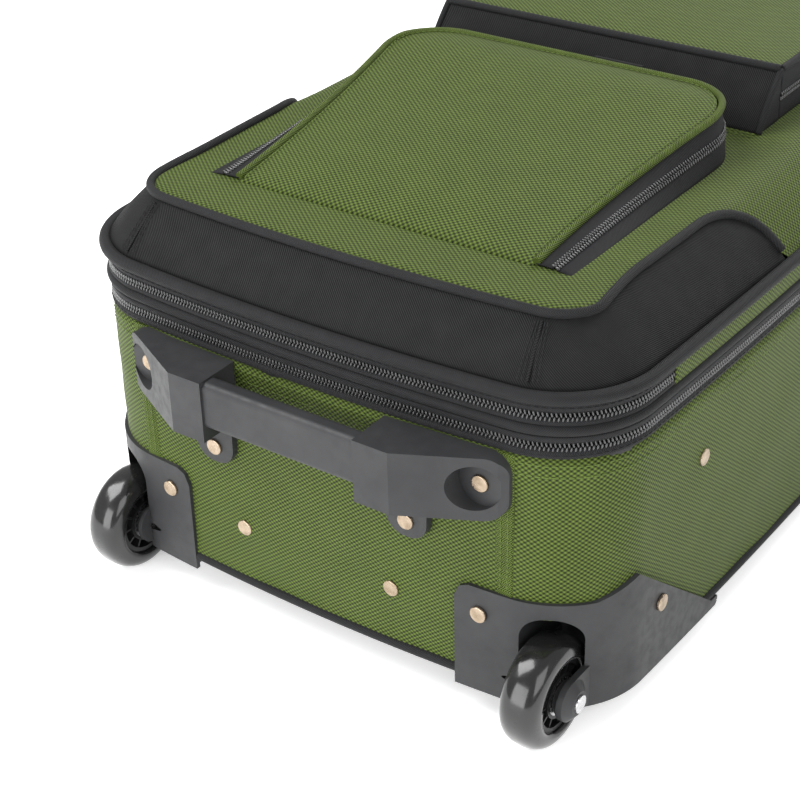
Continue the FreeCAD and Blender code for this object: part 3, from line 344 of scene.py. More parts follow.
def outline_stations():
    """Centre, radius and heading of points round the bowed outline, from the +X side's middle."""
    side_span, end_span = LENGTH / 2 - CORNER, HALF - CORNER
    side_arc = CORNER + (SIDE_BOW ** 2 + side_span ** 2) / (2 * SIDE_BOW)
    end_arc = CORNER + (END_BOW ** 2 + end_span ** 2) / (2 * END_BOW)
    side_turn = math.atan2(side_span, side_arc - CORNER - SIDE_BOW)
    end_turn = math.atan2(end_span, end_arc - CORNER - END_BOW)
    quarter = math.pi / 2
    right = (HALF + SIDE_BOW - side_arc, LENGTH / 2)
    left = (side_arc - HALF - SIDE_BOW, LENGTH / 2)
    far = (0, LENGTH + END_BOW - end_arc)
    near = (0, end_arc - END_BOW)
    arcs = [
        (right, side_arc, 0, side_turn, 56),
        ((end_span, LENGTH - CORNER), CORNER, side_turn, quarter - end_turn, 28),
        (far, end_arc, quarter - end_turn, quarter + end_turn, 60),
        ((-end_span, LENGTH - CORNER), CORNER, quarter + end_turn, 2 * quarter - side_turn, 28),
        (left, side_arc, 2 * quarter - side_turn, 2 * quarter + side_turn, 112),
        ((-end_span, CORNER), CORNER, 2 * quarter + side_turn, 3 * quarter - end_turn, 28),
        (near, end_arc, 3 * quarter - end_turn, 3 * quarter + end_turn, 60),
        ((end_span, CORNER), CORNER, 3 * quarter + end_turn, 4 * quarter - side_turn, 28),
        (right, side_arc, 4 * quarter - side_turn, 4 * quarter, 56),
    ]
    centres, radii, headings = [], [], []
    for centre, radius, start, stop, count in arcs:
        for step in range(count):
            centres.append(centre)
            radii.append(radius)
            headings.append(start + (stop - start) * step / count)
    return np.array(centres), np.array(radii), np.array(headings)


CENTRES, RADII, HEADINGS = outline_stations()
NORMALS = np.stack([np.cos(HEADINGS), np.sin(HEADINGS)], 1)
EDGE = CENTRES + RADII[:, None] * NORMALS
CLOSED_EDGE = np.vstack([EDGE, EDGE[:1]])
TRAVEL = distances(CLOSED_EDGE)
AROUND = TRAVEL[-1]


def at(travel, inset):
    """Plan point and outward normal at a travel round the outline, moved in by inset."""
    travel = np.asarray(travel, float)
    inset = np.broadcast_to(np.asarray(inset, float), travel.shape)
    turn = np.interp(travel % AROUND, TRAVEL, np.append(HEADINGS, HEADINGS[0] + 2 * math.pi))
    normal = np.stack([np.cos(turn), np.sin(turn)], -1)
    spot = np.stack([np.interp(travel % AROUND, TRAVEL, CLOSED_EDGE[:, k]) for k in (0, 1)], -1)
    return spot - inset[..., None] * normal, normal


def travel_where(side, y):
    """Travel of the point with this y on the left or right side."""
    on_side = EDGE[:, 0] < -HALF + 6 if side == "left" else EDGE[:, 0] > HALF - 6
    keep = np.where(on_side)[0]
    keep = keep[np.argsort(EDGE[keep, 1])]
    travel = TRAVEL[keep]
    if side == "right":
        travel = np.where(travel > AROUND / 2, travel - AROUND, travel)
    return float(np.interp(y, EDGE[keep, 1], travel))


def travel_at_end(x, far=False):
    """Travel of the point with this x on the wheel end, or on the far end."""
    on_end = EDGE[:, 1] > LENGTH - CORNER / 2 if far else EDGE[:, 1] < CORNER / 2
    keep = np.where(on_end & (np.abs(EDGE[:, 0]) < HALF - 8))[0]
    order = keep[np.argsort(EDGE[keep, 0])]
    return float(np.interp(x, EDGE[order, 0], TRAVEL[order]))


FULL = TRAVEL[:-1]
HINGE_NEAR, HINGE_FAR = 72, LENGTH - 72
ZIP_RUN = np.linspace(travel_where("right", HINGE_FAR),
                      travel_where("right", HINGE_NEAR) + AROUND, 420)
HINGE_RUN = np.linspace(travel_where("right", HINGE_NEAR),
                        travel_where("right", HINGE_FAR), 100)


def loft(name, travel, profile, material, body, slot_name=None, keep=None, swell=0.0):
    """A band round the outline. profile is (inset, z) rows, outside face seen from outside."""
    profile = np.asarray(profile, float)
    close = travel is FULL
    length = distances(profile)
    rows = np.repeat(travel[:, None], len(profile), 1)
    lift = ripple(rows, profile[None, :, 1] * 2, swell) if swell else 0
    plan, _ = at(rows, profile[None, :, 0] - lift)
    height = np.broadcast_to(profile[None, :, 1, None], plan.shape[:2] + (1,))
    points = np.concatenate([plan, height], 2)
    run = np.append(travel, AROUND) if close else travel
    uv = cloth_map(run, length)
    return grid(name, points, uv, material, body, slot_name, close, keep)


def arc_profile(inset, low, high, proud, count=9):
    """A half-round bulge from low to high."""
    turn = np.linspace(-math.pi / 2, math.pi / 2, count)
    return [(inset - proud * math.cos(a), (low + high) / 2 + (high - low) / 2 * math.sin(a))
            for a in turn]


def spaced(path, ups, spacing, closed=False):
    """Evenly spaced points, directions and up vectors along a path."""
    path, ups = np.asarray(path, float), np.asarray(ups, float)
    if closed:
        path, ups = np.vstack([path, path[:1]]), np.vstack([ups, ups[:1]])
    run = distances(path)
    count = max(2, int(round(run[-1] / spacing)))
    marks = (np.arange(count) + 0.5) * run[-1] / count
    spot = np.stack([np.interp(marks, run, path[:, k]) for k in range(3)], 1)
    ahead = np.stack([np.interp(marks + 0.5, run, path[:, k]) for k in range(3)], 1)
    back = np.stack([np.interp(marks - 0.5, run, path[:, k]) for k in range(3)], 1)
    way = ahead - back
    way /= np.linalg.norm(way, axis=1)[:, None]
    up = np.stack([np.interp(marks, run, ups[:, k]) for k in range(3)], 1)
    up -= (up * way).sum(1)[:, None] * way
    up /= np.linalg.norm(up, axis=1)[:, None]
    return spot, way, up


def sweep(name, path, ups, section, material, body, closed=False):
    """A closed section, in (side, up) millimetres, carried along a path."""
    path, ups = np.asarray(path, float), np.asarray(ups, float)
    section = np.asarray(section, float)
    if closed:
        way = np.roll(path, -1, 0) - np.roll(path, 1, 0)
    else:
        way = np.gradient(path, axis=0)
    way /= np.linalg.norm(way, axis=1)[:, None]
    side = np.cross(way, ups)
    side /= np.linalg.norm(side, axis=1)[:, None]
    up = np.cross(side, way)
    ring = np.vstack([section, section[:1]])
    points = (path[:, None] + ring[None, :, :1] * side[:, None] + ring[None, :, 1:] * up[:, None])
    run = distances(path)
    if closed:
        run = np.append(run, run[-1] + np.linalg.norm(path[0] - path[-1]))
    girth = distances(ring)
    uv = cloth_map(run, girth)
    piece = grid(name, points, uv, material, body, close=closed)
    if not closed:
        cap_ends(piece, len(section) + 1, len(path))
    return weld(piece)


def cap_ends(piece, around, count):
    """Closes the two open ends of a swept tube."""
    shape = bmesh.new()
    shape.from_mesh(piece.data)
    shape.verts.ensure_lookup_table()
    first = [shape.verts[k] for k in range(around - 1)]
    last = [shape.verts[(count - 1) * around + k] for k in range(around - 1)]
    for loop in (first, last[::-1]):
        shape.faces.new(loop)
    shape.to_mesh(piece.data)
    shape.free()


def weld(piece):
    shape = bmesh.new()
    shape.from_mesh(piece.data)
    bmesh.ops.remove_doubles(shape, verts=shape.verts, dist=1e-6)
    bmesh.ops.recalc_face_normals(shape, faces=shape.faces)
    shape.to_mesh(piece.data)
    shape.free()
    return piece


def round_section(radius, count=14, flat=1.0):
    turn = np.arange(count) * 2 * math.pi / count
    return np.stack([radius * np.cos(turn), radius * flat * np.sin(turn)], 1)


def bead(length, width, height, around=6, along=4):
    """A small capsule along x: its points and faces."""
    points, faces = [(-length / 2, 0, 0)], []
    for k in range(along):
        turn = math.pi * (k + 0.5) / along
        reach = math.sin(turn) ** 0.6
        for m in range(around):
            angle = 2 * math.pi * m / around
            points.append((-length / 2 * math.cos(turn), width / 2 * reach * math.cos(angle),
                           height / 2 * reach * math.sin(angle)))
    points.append((length / 2, 0, 0))
    last = len(points) - 1
    for m in range(around):
        after = (m + 1) % around
        faces.append([0, 1 + after, 1 + m])
        for k in range(along - 1):
            low, high = 1 + k * around, 1 + (k + 1) * around
            faces.append([low + m, low + after, high + after, high + m])
        top = 1 + (along - 1) * around
        faces.append([last, top + m, top + after])
    return np.array(points), faces


def scatter(name, spots, ways, ups, shape, material, body, slot_name=None, turn=0.0):
    """Copies of one small shape, one per spot, joined in one piece."""
    points, faces = shape
    sides = np.cross(ups, ways)
    along = ways * math.cos(turn) + sides * math.sin(turn)
    across = np.cross(ups, along)
    copies = (spots[:, None] + points[None, :, :1] * along[:, None]
              + points[None, :, 1:2] * across[:, None] + points[None, :, 2:] * ups[:, None])
    every = [[f + k * len(points) for f in face] for k in range(len(spots)) for face in faces]
    corners = sum(len(face) for face in faces) * len(spots)
    return mesh_object(name, copies.reshape(-1, 3), every, np.zeros((corners, 2)), material,
                       body, slot_name)


def coil(name, path, ups, body, side, closed=False, pitch=2.2):
    """One row of a coil zip: slanted loops, half a pitch behind those of the other row."""
    spots, ways, up = spaced(path, ups, pitch, closed)
    lean = np.cross(up, ways) * side
    shape = bead(3.1, 1.3, 1.8)
    spots = spots + lean * 1.25 + ways * (pitch / 4 * side)
    return scatter(name, spots, lean, up, shape, COIL, body, turn=0.22 * side)


def stitches(name, path, ups, body, material=None, closed=False, spacing=4.2, size=0.75,
             slot_name=None):
    """A row of lockstitches lying on the cloth."""
    spots, ways, up = spaced(path, ups, spacing, closed)
    shape = bead(spacing * 0.72, size, size * 0.7)
    return scatter(name, spots, ways, up, shape, material or THREAD, body, slot_name)


def wall_path(travel, inset, z):
    """Points on the wall at a height, and the outward directions there."""
    travel = np.asarray(travel, float)
    plan, normal = at(travel, inset)
    height = np.broadcast_to(np.asarray(z, float), travel.shape)
    zero = np.zeros(len(travel))
    return np.column_stack([plan, height]), np.column_stack([normal, zero])


def soften(node, width=0.5):
    """Rounds a CAD piece's sharp edges so that they catch the light."""
    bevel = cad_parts[node].modifiers.new("edges", "BEVEL")
    bevel.width = width * MM
    bevel.segments = 2
    bevel.limit_method = "ANGLE"
    bevel.angle_limit = math.radians(35)


def finish_cad():
    """Materials for the CAD nodes that stay shown."""
    finishes = [
        (GREY_DARK, ["main_shell", "tunnel_cover", "frame_hoop", "tube_foot_bracket"]),
        (GREY, ["corner_guard_left", "corner_guard_right", "foot_handle", "handle_bezel",
                "pull_grip", "carry_handle_caps"]),
        (GREY_DARK, ["release_button", "strap_buckles"]),
        (BOARD, ["back_board"]),
        (LINING, ["lining", "lid_lining"]),
        (WEBBING, ["packing_straps"]),
        (HUB, ["hub_left", "hub_right"]),
        (STEEL, ["perimeter_frame", "handle_outer_tubes", "axle_left", "axle_right",
                 "bearings_left", "bearings_right"]),
        (TUBE, ["handle_stage_1", "handle_stage_2"]),
        (RIVET, ["foot_handle_rivets", "guard_rivets", "panel_rivets"]),
        (CHROME, ["main_zip_a_slider", "main_zip_b_slider", "expansion_zip_slider",
                  "lower_pocket_slider", "upper_pocket_slider", "lower_pocket_puller",
                  "upper_pocket_puller"]),
        (DARK_METAL, ["main_zip_a_puller", "main_zip_b_puller", "expansion_zip_puller"]),
    ]
    for material, nodes in finishes:
        for node in nodes:
            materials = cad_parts[node].data.materials
            materials.clear()
            materials.append(material)
    for node, width in (("corner_guard_left", 0.9), ("corner_guard_right", 0.9),
                        ("foot_handle", 1.4), ("handle_bezel", 0.8), ("pull_grip", 1.2),
                        ("carry_handle_caps", 0.8), ("hub_left", 0.4), ("hub_right", 0.4),
                        ("strap_buckles", 0.8), ("release_button", 0.6)):
        soften(node, width)


# ---- the case's cloth ------------------------------------------------------------------------

GUARD_INNER, GUARD_TOE, GUARD_RIM = 92, 128, 60
GUARD_PEAK, GUARD_PEAK_Y = 69, 45


def under_guard(point, margin):
    """True well inside the stretch of wall and back that a corner guard covers."""
    x, y, z = point
    rim = min(GUARD_RIM, GUARD_PEAK * (GUARD_TOE - y) / (GUARD_TOE - GUARD_PEAK_Y))
    return abs(x) > GUARD_INNER + margin and y < GUARD_TOE - margin and z < rim - margin


def build_shell_cloth():
    heights = np.concatenate([[2.5, 6], np.arange(12, SHELL_TOP - 3, 6.5), [SHELL_TOP]])
    profile = [(-0.8, z) for z in heights]
    profile[-1] = (-0.3, SHELL_TOP)
    cloth = loft("shell_cloth", FULL, profile, GREEN, "case", swell=0.28,
                 keep=lambda p: not under_guard(p, 9))
    thicken(cloth, 0.5)
    rows = np.linspace(1, LENGTH - 1, 84)
    width = back_width(rows, 1.0)
    share = np.linspace(-1, 1, 60)
    x, y = width[:, None] * share[None], np.repeat(rows[:, None], 60, 1)
    flat = np.stack([x, y, np.full_like(x, -0.5)], -1)
    back = grid("back_cloth", flat, np.stack([x, y], -1), BLACK, "case",
                keep=lambda p: not under_guard(p, 9))
    thicken(back, -0.4)
    trim = loft("edge_trim", FULL, arc_profile(-0.2, -0.2, 5.6, 2.7), TAPE, "case",
                keep=lambda p: not under_guard(p, 5))
    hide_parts("edge_piping")
    for x0 in (-125, 125):
        for end, far in (("near", False), ("far", True)):
            seam_band(f"seam_{end}_{'left' if x0 < 0 else 'right'}", x0, far)
    for number, z in enumerate((SHELL_TOP - 4.5, SHELL_TOP - 11)):
        path, ups = wall_path(FULL, -0.9, z)
        stitches(f"rim_stitches_{number}", path, ups, "case", GREEN_THREAD, True)


def back_width(rows, inset):
    """Half width of the outline at each y."""
    edge = CENTRES + (RADII - inset)[:, None] * NORMALS
    right = edge[edge[:, 0] > 0]
    order = np.argsort(right[:, 1])
    return np.interp(rows, right[order, 1], right[order, 0])


def seam_band(name, x, far):
    """The folded edge where two panels meet: a raised strip with two rows of stitches."""
    centre = travel_at_end(x, far)
    toward = (1 if x < 0 else -1) * (-1 if far else 1)
    across = np.array([-0.4, 0, 0.6, 1.4, 5, 8.6, 9.4])
    proud = np.array([0.7, 1.5, 1.8, 1.7, 1.5, 1.3, 0.7])
    travel = centre + toward * across
    heights = np.linspace(6, SHELL_TOP - 0.5, 40)
    if toward < 0:
        travel, proud = travel[::-1], proud[::-1]
    plan, _ = at(np.repeat(travel[:, None], 40, 1), -np.repeat(proud[:, None], 40, 1))
    points = np.concatenate([plan, np.broadcast_to(heights[None, :, None],
                                                   plan.shape[:2] + (1,))], 2)
    uv = cloth_map(travel, heights)
    grid(name, points, uv, GREEN_TAPE, "case", keep=lambda p: not under_guard(p, 4))
    tall = np.linspace(8 if far else 66, SHELL_TOP - 2, 60)
    for number, gap in enumerate((2.6, 6.6)):
        path, ups = wall_path(np.full(60, centre + toward * gap), -1.75, tall)
        stitches(f"{name}_stitches_{number}", path, ups, "case", GREEN_THREAD, spacing=3.6)


# ---- the zip bands and pipings ---------------------------------------------------------------

def tape_profile(low, high, coil_high):
    """Zip tape: it leans in a little towards its coil."""
    edge, middle = 0.8, (low + high) / 2
    if coil_high:
        return [(-0.5, low), (-1.1, low + 0.7), (-0.9, middle), (edge, high - 1.1), (1.9, high)]
    return [(1.9, low), (edge, low + 1.1), (-0.9, middle), (-1.1, high - 0.7), (-0.5, high)]


def build_bands():
    bands = [
        ("expansion_tape_lower", "expansion_zip_lower", FULL, SHELL_TOP, EXPANSION_SPLIT, True,
         "case"),
        ("expansion_tape_upper", "expansion_zip_upper", FULL, EXPANSION_SPLIT + 0.3, BAND_TOP,
         False, "front_frame"),
        ("main_tape_lower", "main_zip_lower", ZIP_RUN, WELT_TOP, SPLIT, True, "front_frame"),
        ("main_tape_upper", "main_zip_upper", ZIP_RUN, SPLIT + 0.3, SKIRT_TOP, False, "lid"),
    ]
    for name, node, travel, low, high, coil_high, body in bands:
        band = loft(name, travel, tape_profile(low, high, coil_high), TAPE, body, "zip_tape")
        thicken(band, 1.0)
        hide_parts(node)
    for label, travel, split, lower, upper in (
            ("expansion", FULL, EXPANSION_SPLIT + 0.15, "case", "front_frame"),
            ("main", ZIP_RUN, SPLIT + 0.15, "front_frame", "lid")):
        path, ups = wall_path(travel, -0.2, split)
        coil(f"{label}_coil_lower", path, ups, lower, -1, travel is FULL)
        coil(f"{label}_coil_upper", path, ups, upper, 1, travel is FULL)
    for label, z, body, travel in (("upper", SKIRT_TOP - 2.2, "lid", ZIP_RUN),
                                   ("lower", SHELL_TOP + 1.9, "case", FULL)):
        path, ups = wall_path(travel, -1.15, z)
        stitches(f"tape_stitches_{label}", path, ups, body, closed=travel is FULL)
    welt = loft("welt_cord", FULL, arc_profile(0.6, BAND_TOP - 0.1, WELT_TOP + 0.1, 3.2, 11),
                TAPE, "front_frame")
    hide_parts("welt")
    heights = np.linspace(WELT_TOP, SKIRT_TOP + 0.5, 15)
    profile = [(-1.0 - 0.5 * math.sin(math.pi * k / 14), z) for k, z in enumerate(heights)]
    hinge = loft("hinge_cloth", HINGE_RUN, profile, GREEN, None)
    thicken(hinge, 0.8)
    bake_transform(hinge)
    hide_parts("hinge_strip_lower", "hinge_strip_upper")
    rise = BAND_TOP - SHELL_TOP + 2
    folds = [(4.2 + 1.5 * math.sin(3 * math.pi * v) ** 2, SHELL_TOP - 1 + rise * v)
             for v in np.linspace(0, 1, 25)]
    gusset = loft("expansion_cloth", FULL, folds, BLACK, None)
    thicken(gusset, 0.8)
    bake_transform(gusset)
    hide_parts("expansion_gusset")
    path, ups = wall_path(FULL, -1.4, (SKIRT_TOP + PIPING_TOP) / 2)
    cord = sweep("outer_piping_cord", path, ups, round_section(3.6, 16), TAPE, "lid", True)
    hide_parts("outer_piping")


def smooth(share):
    share = np.clip(share, 0, 1)
    return share * share * (3 - 2 * share)


SLOPE_RATE = 1.042


def lid_height(y, inset):
    """Height of the lid's cloth: a slope that rounds over into the flat front."""
    soft = 1.6 + 3 * smooth((y - 150) / 60)
    slope = PIPING_TOP - 0.8 + SLOPE_RATE * (inset - 1.5)
    return -soft * np.logaddexp(-slope / soft, -(PANEL_TOP + 0.1) / soft)


def lid_point(travel, inset, lift=0.0):
    """A point on the lid's cloth and the direction straight out of it."""
    plan, normal = at(travel, inset)
    inset = np.broadcast_to(np.asarray(inset, float), plan.shape[:-1])
    z = lid_height(plan[..., 1], inset)
    rise = (lid_height(plan[..., 1], inset + 0.2) - lid_height(plan[..., 1], inset - 0.2)) / 0.4
    up = np.concatenate([normal * rise[..., None], np.ones(rise.shape + (1,))], -1)
    up /= np.linalg.norm(up, axis=-1)[..., None]
    return np.concatenate([plan, z[..., None]], -1) + lift * up, up


PIPED, SIDE_PIPED = 27.8, 32.0
ARM_START, ARM_REACH = 148, 46


def arm_travel():
    """Travel and inset of the inner piping, from the left arm's tip round to the right's."""
    turn = np.radians(np.linspace(88, 0, 26))
    ys = ARM_START + ARM_REACH * np.sin(turn)
    insets = 2.6 + (SIDE_PIPED - 2.6) * np.cos(turn) ** 0.8
    left = np.array([travel_where("left", y) for y in ys])
    right = np.array([travel_where("right", y) + AROUND for y in ys])[::-1]
    middle = np.linspace(left[-1], right[0], 190)[1:-1]
    travel = np.concatenate([left, middle, right])
    y = at(middle, 0)[0][:, 1]
    drawn_in = PIPED + (SIDE_PIPED - PIPED) * smooth((y - 30) / 60)
    inset = np.concatenate([insets, drawn_in, insets[::-1]])
    return travel, inset


ARM_TRAVEL, ARM_INSET = arm_travel()


def build_lid_band():
    """The black sloped band round the wheel end, which tapers off along both sides."""
    share = np.linspace(0, 1, 15)
    travel = np.repeat(ARM_TRAVEL[:, None], 15, 1)
    inset = 1.2 + (ARM_INSET[:, None] - 1.2) * share[None]
    bulge = 1.3 * np.sin(math.pi * share)[None] * ((ARM_INSET[:, None] - 2) / PIPED)
    swell = ripple(travel, inset * 3, 0.35, 1.7) * np.sin(math.pi * share)[None]
    points, up = lid_point(travel, inset)
    points = points + up * (bulge + swell)[..., None]
    uv = np.stack([travel, inset * 1.44], -1)
    band = grid("lid_band_cloth", points, uv, BLACK, "lid")
    thicken(band, 1.0)
    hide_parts("lid_band")
    path, ups = lid_point(ARM_TRAVEL, ARM_INSET, 1.4)
    cord = sweep("inner_piping_cord", path, ups, round_section(2.5, 12), TAPE, "lid")
    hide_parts("inner_piping")
    for label, x in (("left", -130), ("right", 130)):
        spot = travel_at_end(x)
        run = np.linspace(3, PIPED - 3, 30)
        for number, gap in enumerate((-5.5, -3, 3, 5.5)):
            path, ups = lid_point(np.full(30, spot + gap), run, 1.75)
            stitches(f"band_seam_{label}_{number}", path, ups, "lid", spacing=3.4, size=0.7)
        path, ups = lid_point(np.full(30, spot), run, 1.35)
        sweep(f"band_seam_{label}_fold", path, ups, round_section(0.8, 8, 0.6), BLACK, "lid")


def build_front_panel():
    """The green front, which rolls over the slope to the piping beyond the black arms."""
    rest = np.linspace(ARM_TRAVEL[-1] - AROUND, ARM_TRAVEL[0], 260)[1:-1]
    travel = np.concatenate([ARM_TRAVEL, rest + AROUND])
    outer = np.concatenate([ARM_INSET, np.full(len(rest), 1.2)])
    core = 40.0
    share = np.linspace(0, 1, 16)
    inset = outer[:, None] + (core - outer[:, None]) * share[None]
    points, up = lid_point(np.repeat(travel[:, None], 16, 1), inset)
    plan, normal = at(np.repeat(travel[:, None], 16, 1), inset)
    extra = 0.44 * np.clip(30 - inset, 0, None)
    uv = plan + normal * extra[..., None]
    middle = np.stack([np.zeros(len(travel)), np.clip(points[:, -1, 1], 150, LENGTH - 150),
                       np.full(len(travel), PANEL_TOP + 0.1)], 1)
    deep = np.linspace(0, 1, 24)[1:]
    inner = points[:, -1:] + (middle[:, None] - points[:, -1:]) * deep[None, :, None]
    points = np.concatenate([points, inner], 1)
    uv = np.concatenate([uv, inner[..., :2]], 1)
    uv = np.vstack([uv, uv[:1]])
    panel = grid("front_cloth", points, uv, GREEN, "lid", close=True)
    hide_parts("front_panel")


# ---- pockets -----------------------------------------------------------------------------------

def pocket_path(half, start, end, corner, step=2.5):
    """Round a pocket, up its right side, over the far end and down its left: points, normals."""
    side = np.arange(start, end - corner, step)
    turn = np.radians(np.linspace(0, 90, 20))
    across = np.arange(half - corner, corner - half, -step)
    right = [((half, y), (1, 0)) for y in side]
    bend = [((half - corner + corner * math.cos(a), end - corner + corner * math.sin(a)),
             (math.cos(a), math.sin(a))) for a in turn]
    far = [((x, end), (0, 1)) for x in across[1:]]
    half_way = right + bend
    mirrored = [((-x, y), (-nx, ny)) for (x, y), (nx, ny) in half_way[::-1]]
    every = half_way + far + mirrored
    return np.array([p for p, _ in every], float), np.array([n for _, n in every], float)


def pocket_wall(name, path, normals, low, high, body, count=9):
    """A strip of gusset along a pocket's side, from height low to height high."""
    share = np.linspace(0, 1, count)
    out = 0.2 + 0.5 * np.sin(math.pi * share)
    plan = path[:, None] + normals[:, None] * out[None, :, None]
    z = low[:, None] + (high - low)[:, None] * share[None]
    points = np.concatenate([plan, z[..., None]], 2)
    run = distances(path)
    uv = np.stack([np.repeat(run[:, None], count, 1), z], -1)
    return thicken(grid(name, points, uv, GUSSET, body), 1.0)


def face_grid(half, start, end, corner, inset_at, top, crown, rows=70, columns=64):
    """Points of a pocket's crowned face."""
    last = end - inset_at(np.array([end]))[0]
    y = np.linspace(start, last, rows)
    inset = inset_at(y)
    bend = np.clip(y - (end - corner), 0, corner - inset)
    width = half - corner + np.sqrt(np.clip((corner - inset) ** 2 - bend ** 2, 4, None))
    width = np.where(y < end - corner, half - inset, width)
    share = np.sin(np.linspace(-1, 1, columns) * math.pi / 2)
    x = width[:, None] * share[None]
    long = (y - start) / (last - start)
    dome = (1 - share[None] ** 4) * (1 - (2 * long[:, None] - 1) ** 6)
    z = top(y)[:, None] + crown * dome
    ys = np.repeat(y[:, None], columns, 1)
    z = z + ripple(x, ys, 0.25, 2.2) * dome
    return np.stack([x, ys, z], -1)


def puff(piece, hold, pressure=2.0, frames=14, cap=2.5):
    """Cloth simulation: the face swells a little between its held edges."""
    rest = np.array([v.co for v in piece.data.vertices])
    group = piece.vertex_groups.new(name="held")
    group.add([int(k) for k in hold], 1.0, "REPLACE")
    cloth = piece.modifiers.new("cloth", "CLOTH")
    cloth.settings.quality = 5
    cloth.settings.mass = 0.25
    cloth.settings.use_pressure = True
    cloth.settings.uniform_pressure_force = pressure
    cloth.settings.tension_stiffness = 60
    cloth.settings.bending_stiffness = 2
    cloth.settings.vertex_group_mass = "held"
    cloth.settings.effector_weights.gravity = 0
    cloth.point_cache.frame_end = frames
    scene = bpy.context.scene
    for step in range(1, frames + 1):
        scene.frame_set(step)
    shape = piece.evaluated_get(bpy.context.evaluated_depsgraph_get()).data
    moved = np.array([v.co for v in shape.vertices])
    piece.modifiers.remove(cloth)
    shift = moved - rest
    size = np.linalg.norm(shift, axis=1)
    limit = cap * MM
    shift *= (limit * np.tanh(size / limit) / np.maximum(size, 1e-9))[:, None]
    piece.data.vertices.foreach_set("co", (rest + shift).ravel())
    piece.data.update()
    piece.vertex_groups.clear()
    scene.frame_set(1)


def pocket_face(name, points, body):
    rows, columns = points.shape[:2]
    piece = grid(name, points, points[..., :2], GREEN, body, flip=True)
    edge = np.zeros((rows, columns), bool)
    edge[:2], edge[-2:], edge[:, :2], edge[:, -2:] = True, True, True, True
    puff(piece, np.where(edge.ravel())[0])
    thicken(piece, 1.4)
    return piece


LOWER = dict(half=118, start=64, end=262, corner=42)
UPPER = dict(half=116, start=301, end=455, corner=30)
STRIP = 21.0
RISE_LENGTH = 178


def risen(y):
    """Share of its full height that the lower pocket has reached at y."""
    return np.clip((y - LOWER["start"]) / RISE_LENGTH, 0, 1)


def lower_top(y):
    return FACE + 1.6 + 26.4 * risen(y)


def lower_lean(y):
    """How far the gusset strip reaches in over the panel: it lies flatter where it is low."""
    along = (y - LOWER["start"]) / (LOWER["end"] - LOWER["start"])
    return STRIP * (1 - np.clip(along, 0, 1) ** 2)


def strip_points(path, normals, share, lift=0.0):
    """Points across the strip of gusset, zip and gusset, and the direction out of it."""
    share = np.asarray(share, float)
    reach, rise = lower_lean(path[:, 1]), lower_top(path[:, 1]) - FACE + 0.4
    out = np.column_stack([normals * rise[:, None], reach])
    out /= np.linalg.norm(out, axis=1)[:, None]
    foot = np.column_stack([path + normals * 0.3, np.full(len(path), FACE - 0.4)])
    head = np.column_stack([path - normals * reach[:, None], lower_top(path[:, 1])])
    points = foot[:, None] + (head - foot)[:, None] * share[None, :, None]
    swell = (0.7 * np.sin(math.pi * share) + lift)[None, :, None]
    return points + out[:, None] * swell, out


def build_lower_pocket():
    path, normals = pocket_path(**LOWER)
    run = distances(path)
    for name, body, low, high, node in (
            ("lower_gusset_cloth", "lid", 0, 0.46, "lower_pocket_gusset"),
            ("lower_flap_gusset", "lower_flap", 0.54, 1, None)):
        share = np.linspace(low, high, 8)
        points, _ = strip_points(path, normals, share)
        uv = cloth_map(run, share * STRIP)
        strip = grid(name, points, uv, GUSSET, body)
        thicken(strip, 0.9)
        if node:
            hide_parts(node)
    spots, out = strip_points(path, normals, [0.5], 0.3)
    coil("lower_pocket_coil_low", spots[:, 0], out, "lid", -1)
    coil("lower_pocket_coil_high", spots[:, 0], out, "lower_flap", 1)
    edge, _ = strip_points(path, normals, [1.0], 0.6)
    sweep("lower_pocket_piping", edge[:, 0], out, round_section(2.1, 12), GREEN_TAPE,
          "lower_flap")

    def top(y):
        start = np.clip((y - 62) / 5, 0, 1)
        return FACE - 0.3 + 2.2 * start + 26.2 * risen(y)
    points = face_grid(LOWER["half"], 63, LOWER["end"], LOWER["corner"],
                       lambda y: 1.6 + lower_lean(y), top, 3.6)
    face = pocket_face("lower_pocket_face", points, "lower_flap")
    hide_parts("lower_pocket_flap")
    inner = edge[:, 0, :2] - normals * 4.2
    line = np.column_stack([inner, lower_top(path[:, 1]) + 1.3])
    flat = np.tile([0.0, 0.0, 1.0], (len(inner), 1))
    stitches("lower_face_stitches", line, flat, "lower_flap", GREEN_THREAD,
             spacing=3.6, size=0.6)


def build_upper_pocket():
    path, normals = pocket_path(**UPPER)
    zip_z = np.full(len(path), FACE + 14.0)
    top_z = np.full(len(path), UPPER_TOP - 1.0)
    base = np.full(len(path), FACE - 0.6)
    wall = pocket_wall("upper_gusset_cloth", path, normals, base, zip_z - 0.4, "lid")
    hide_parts("upper_pocket_gusset")
    pocket_wall("upper_flap_gusset", path, normals, zip_z + 0.4, top_z, "upper_flap")
    ups = np.column_stack([normals, np.zeros(len(path))])
    spots = np.column_stack([path + normals * 0.6, zip_z])
    coil("upper_pocket_coil_low", spots, ups, "lid", -1)
    coil("upper_pocket_coil_high", spots, ups, "upper_flap", 1)
    edge = np.column_stack([path, top_z])
    sweep("upper_pocket_piping", edge, ups, round_section(2.3, 12), TAPE, "upper_flap")
    points = face_grid(UPPER["half"], UPPER["start"], UPPER["end"], UPPER["corner"],
                       lambda y: np.full(len(y), 1.6),
                       lambda y: np.full(len(y), UPPER_TOP - 0.2), 1.6)
    face = pocket_face("upper_pocket_face", points, "upper_flap")
    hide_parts("upper_pocket_flap")
    build_slope()


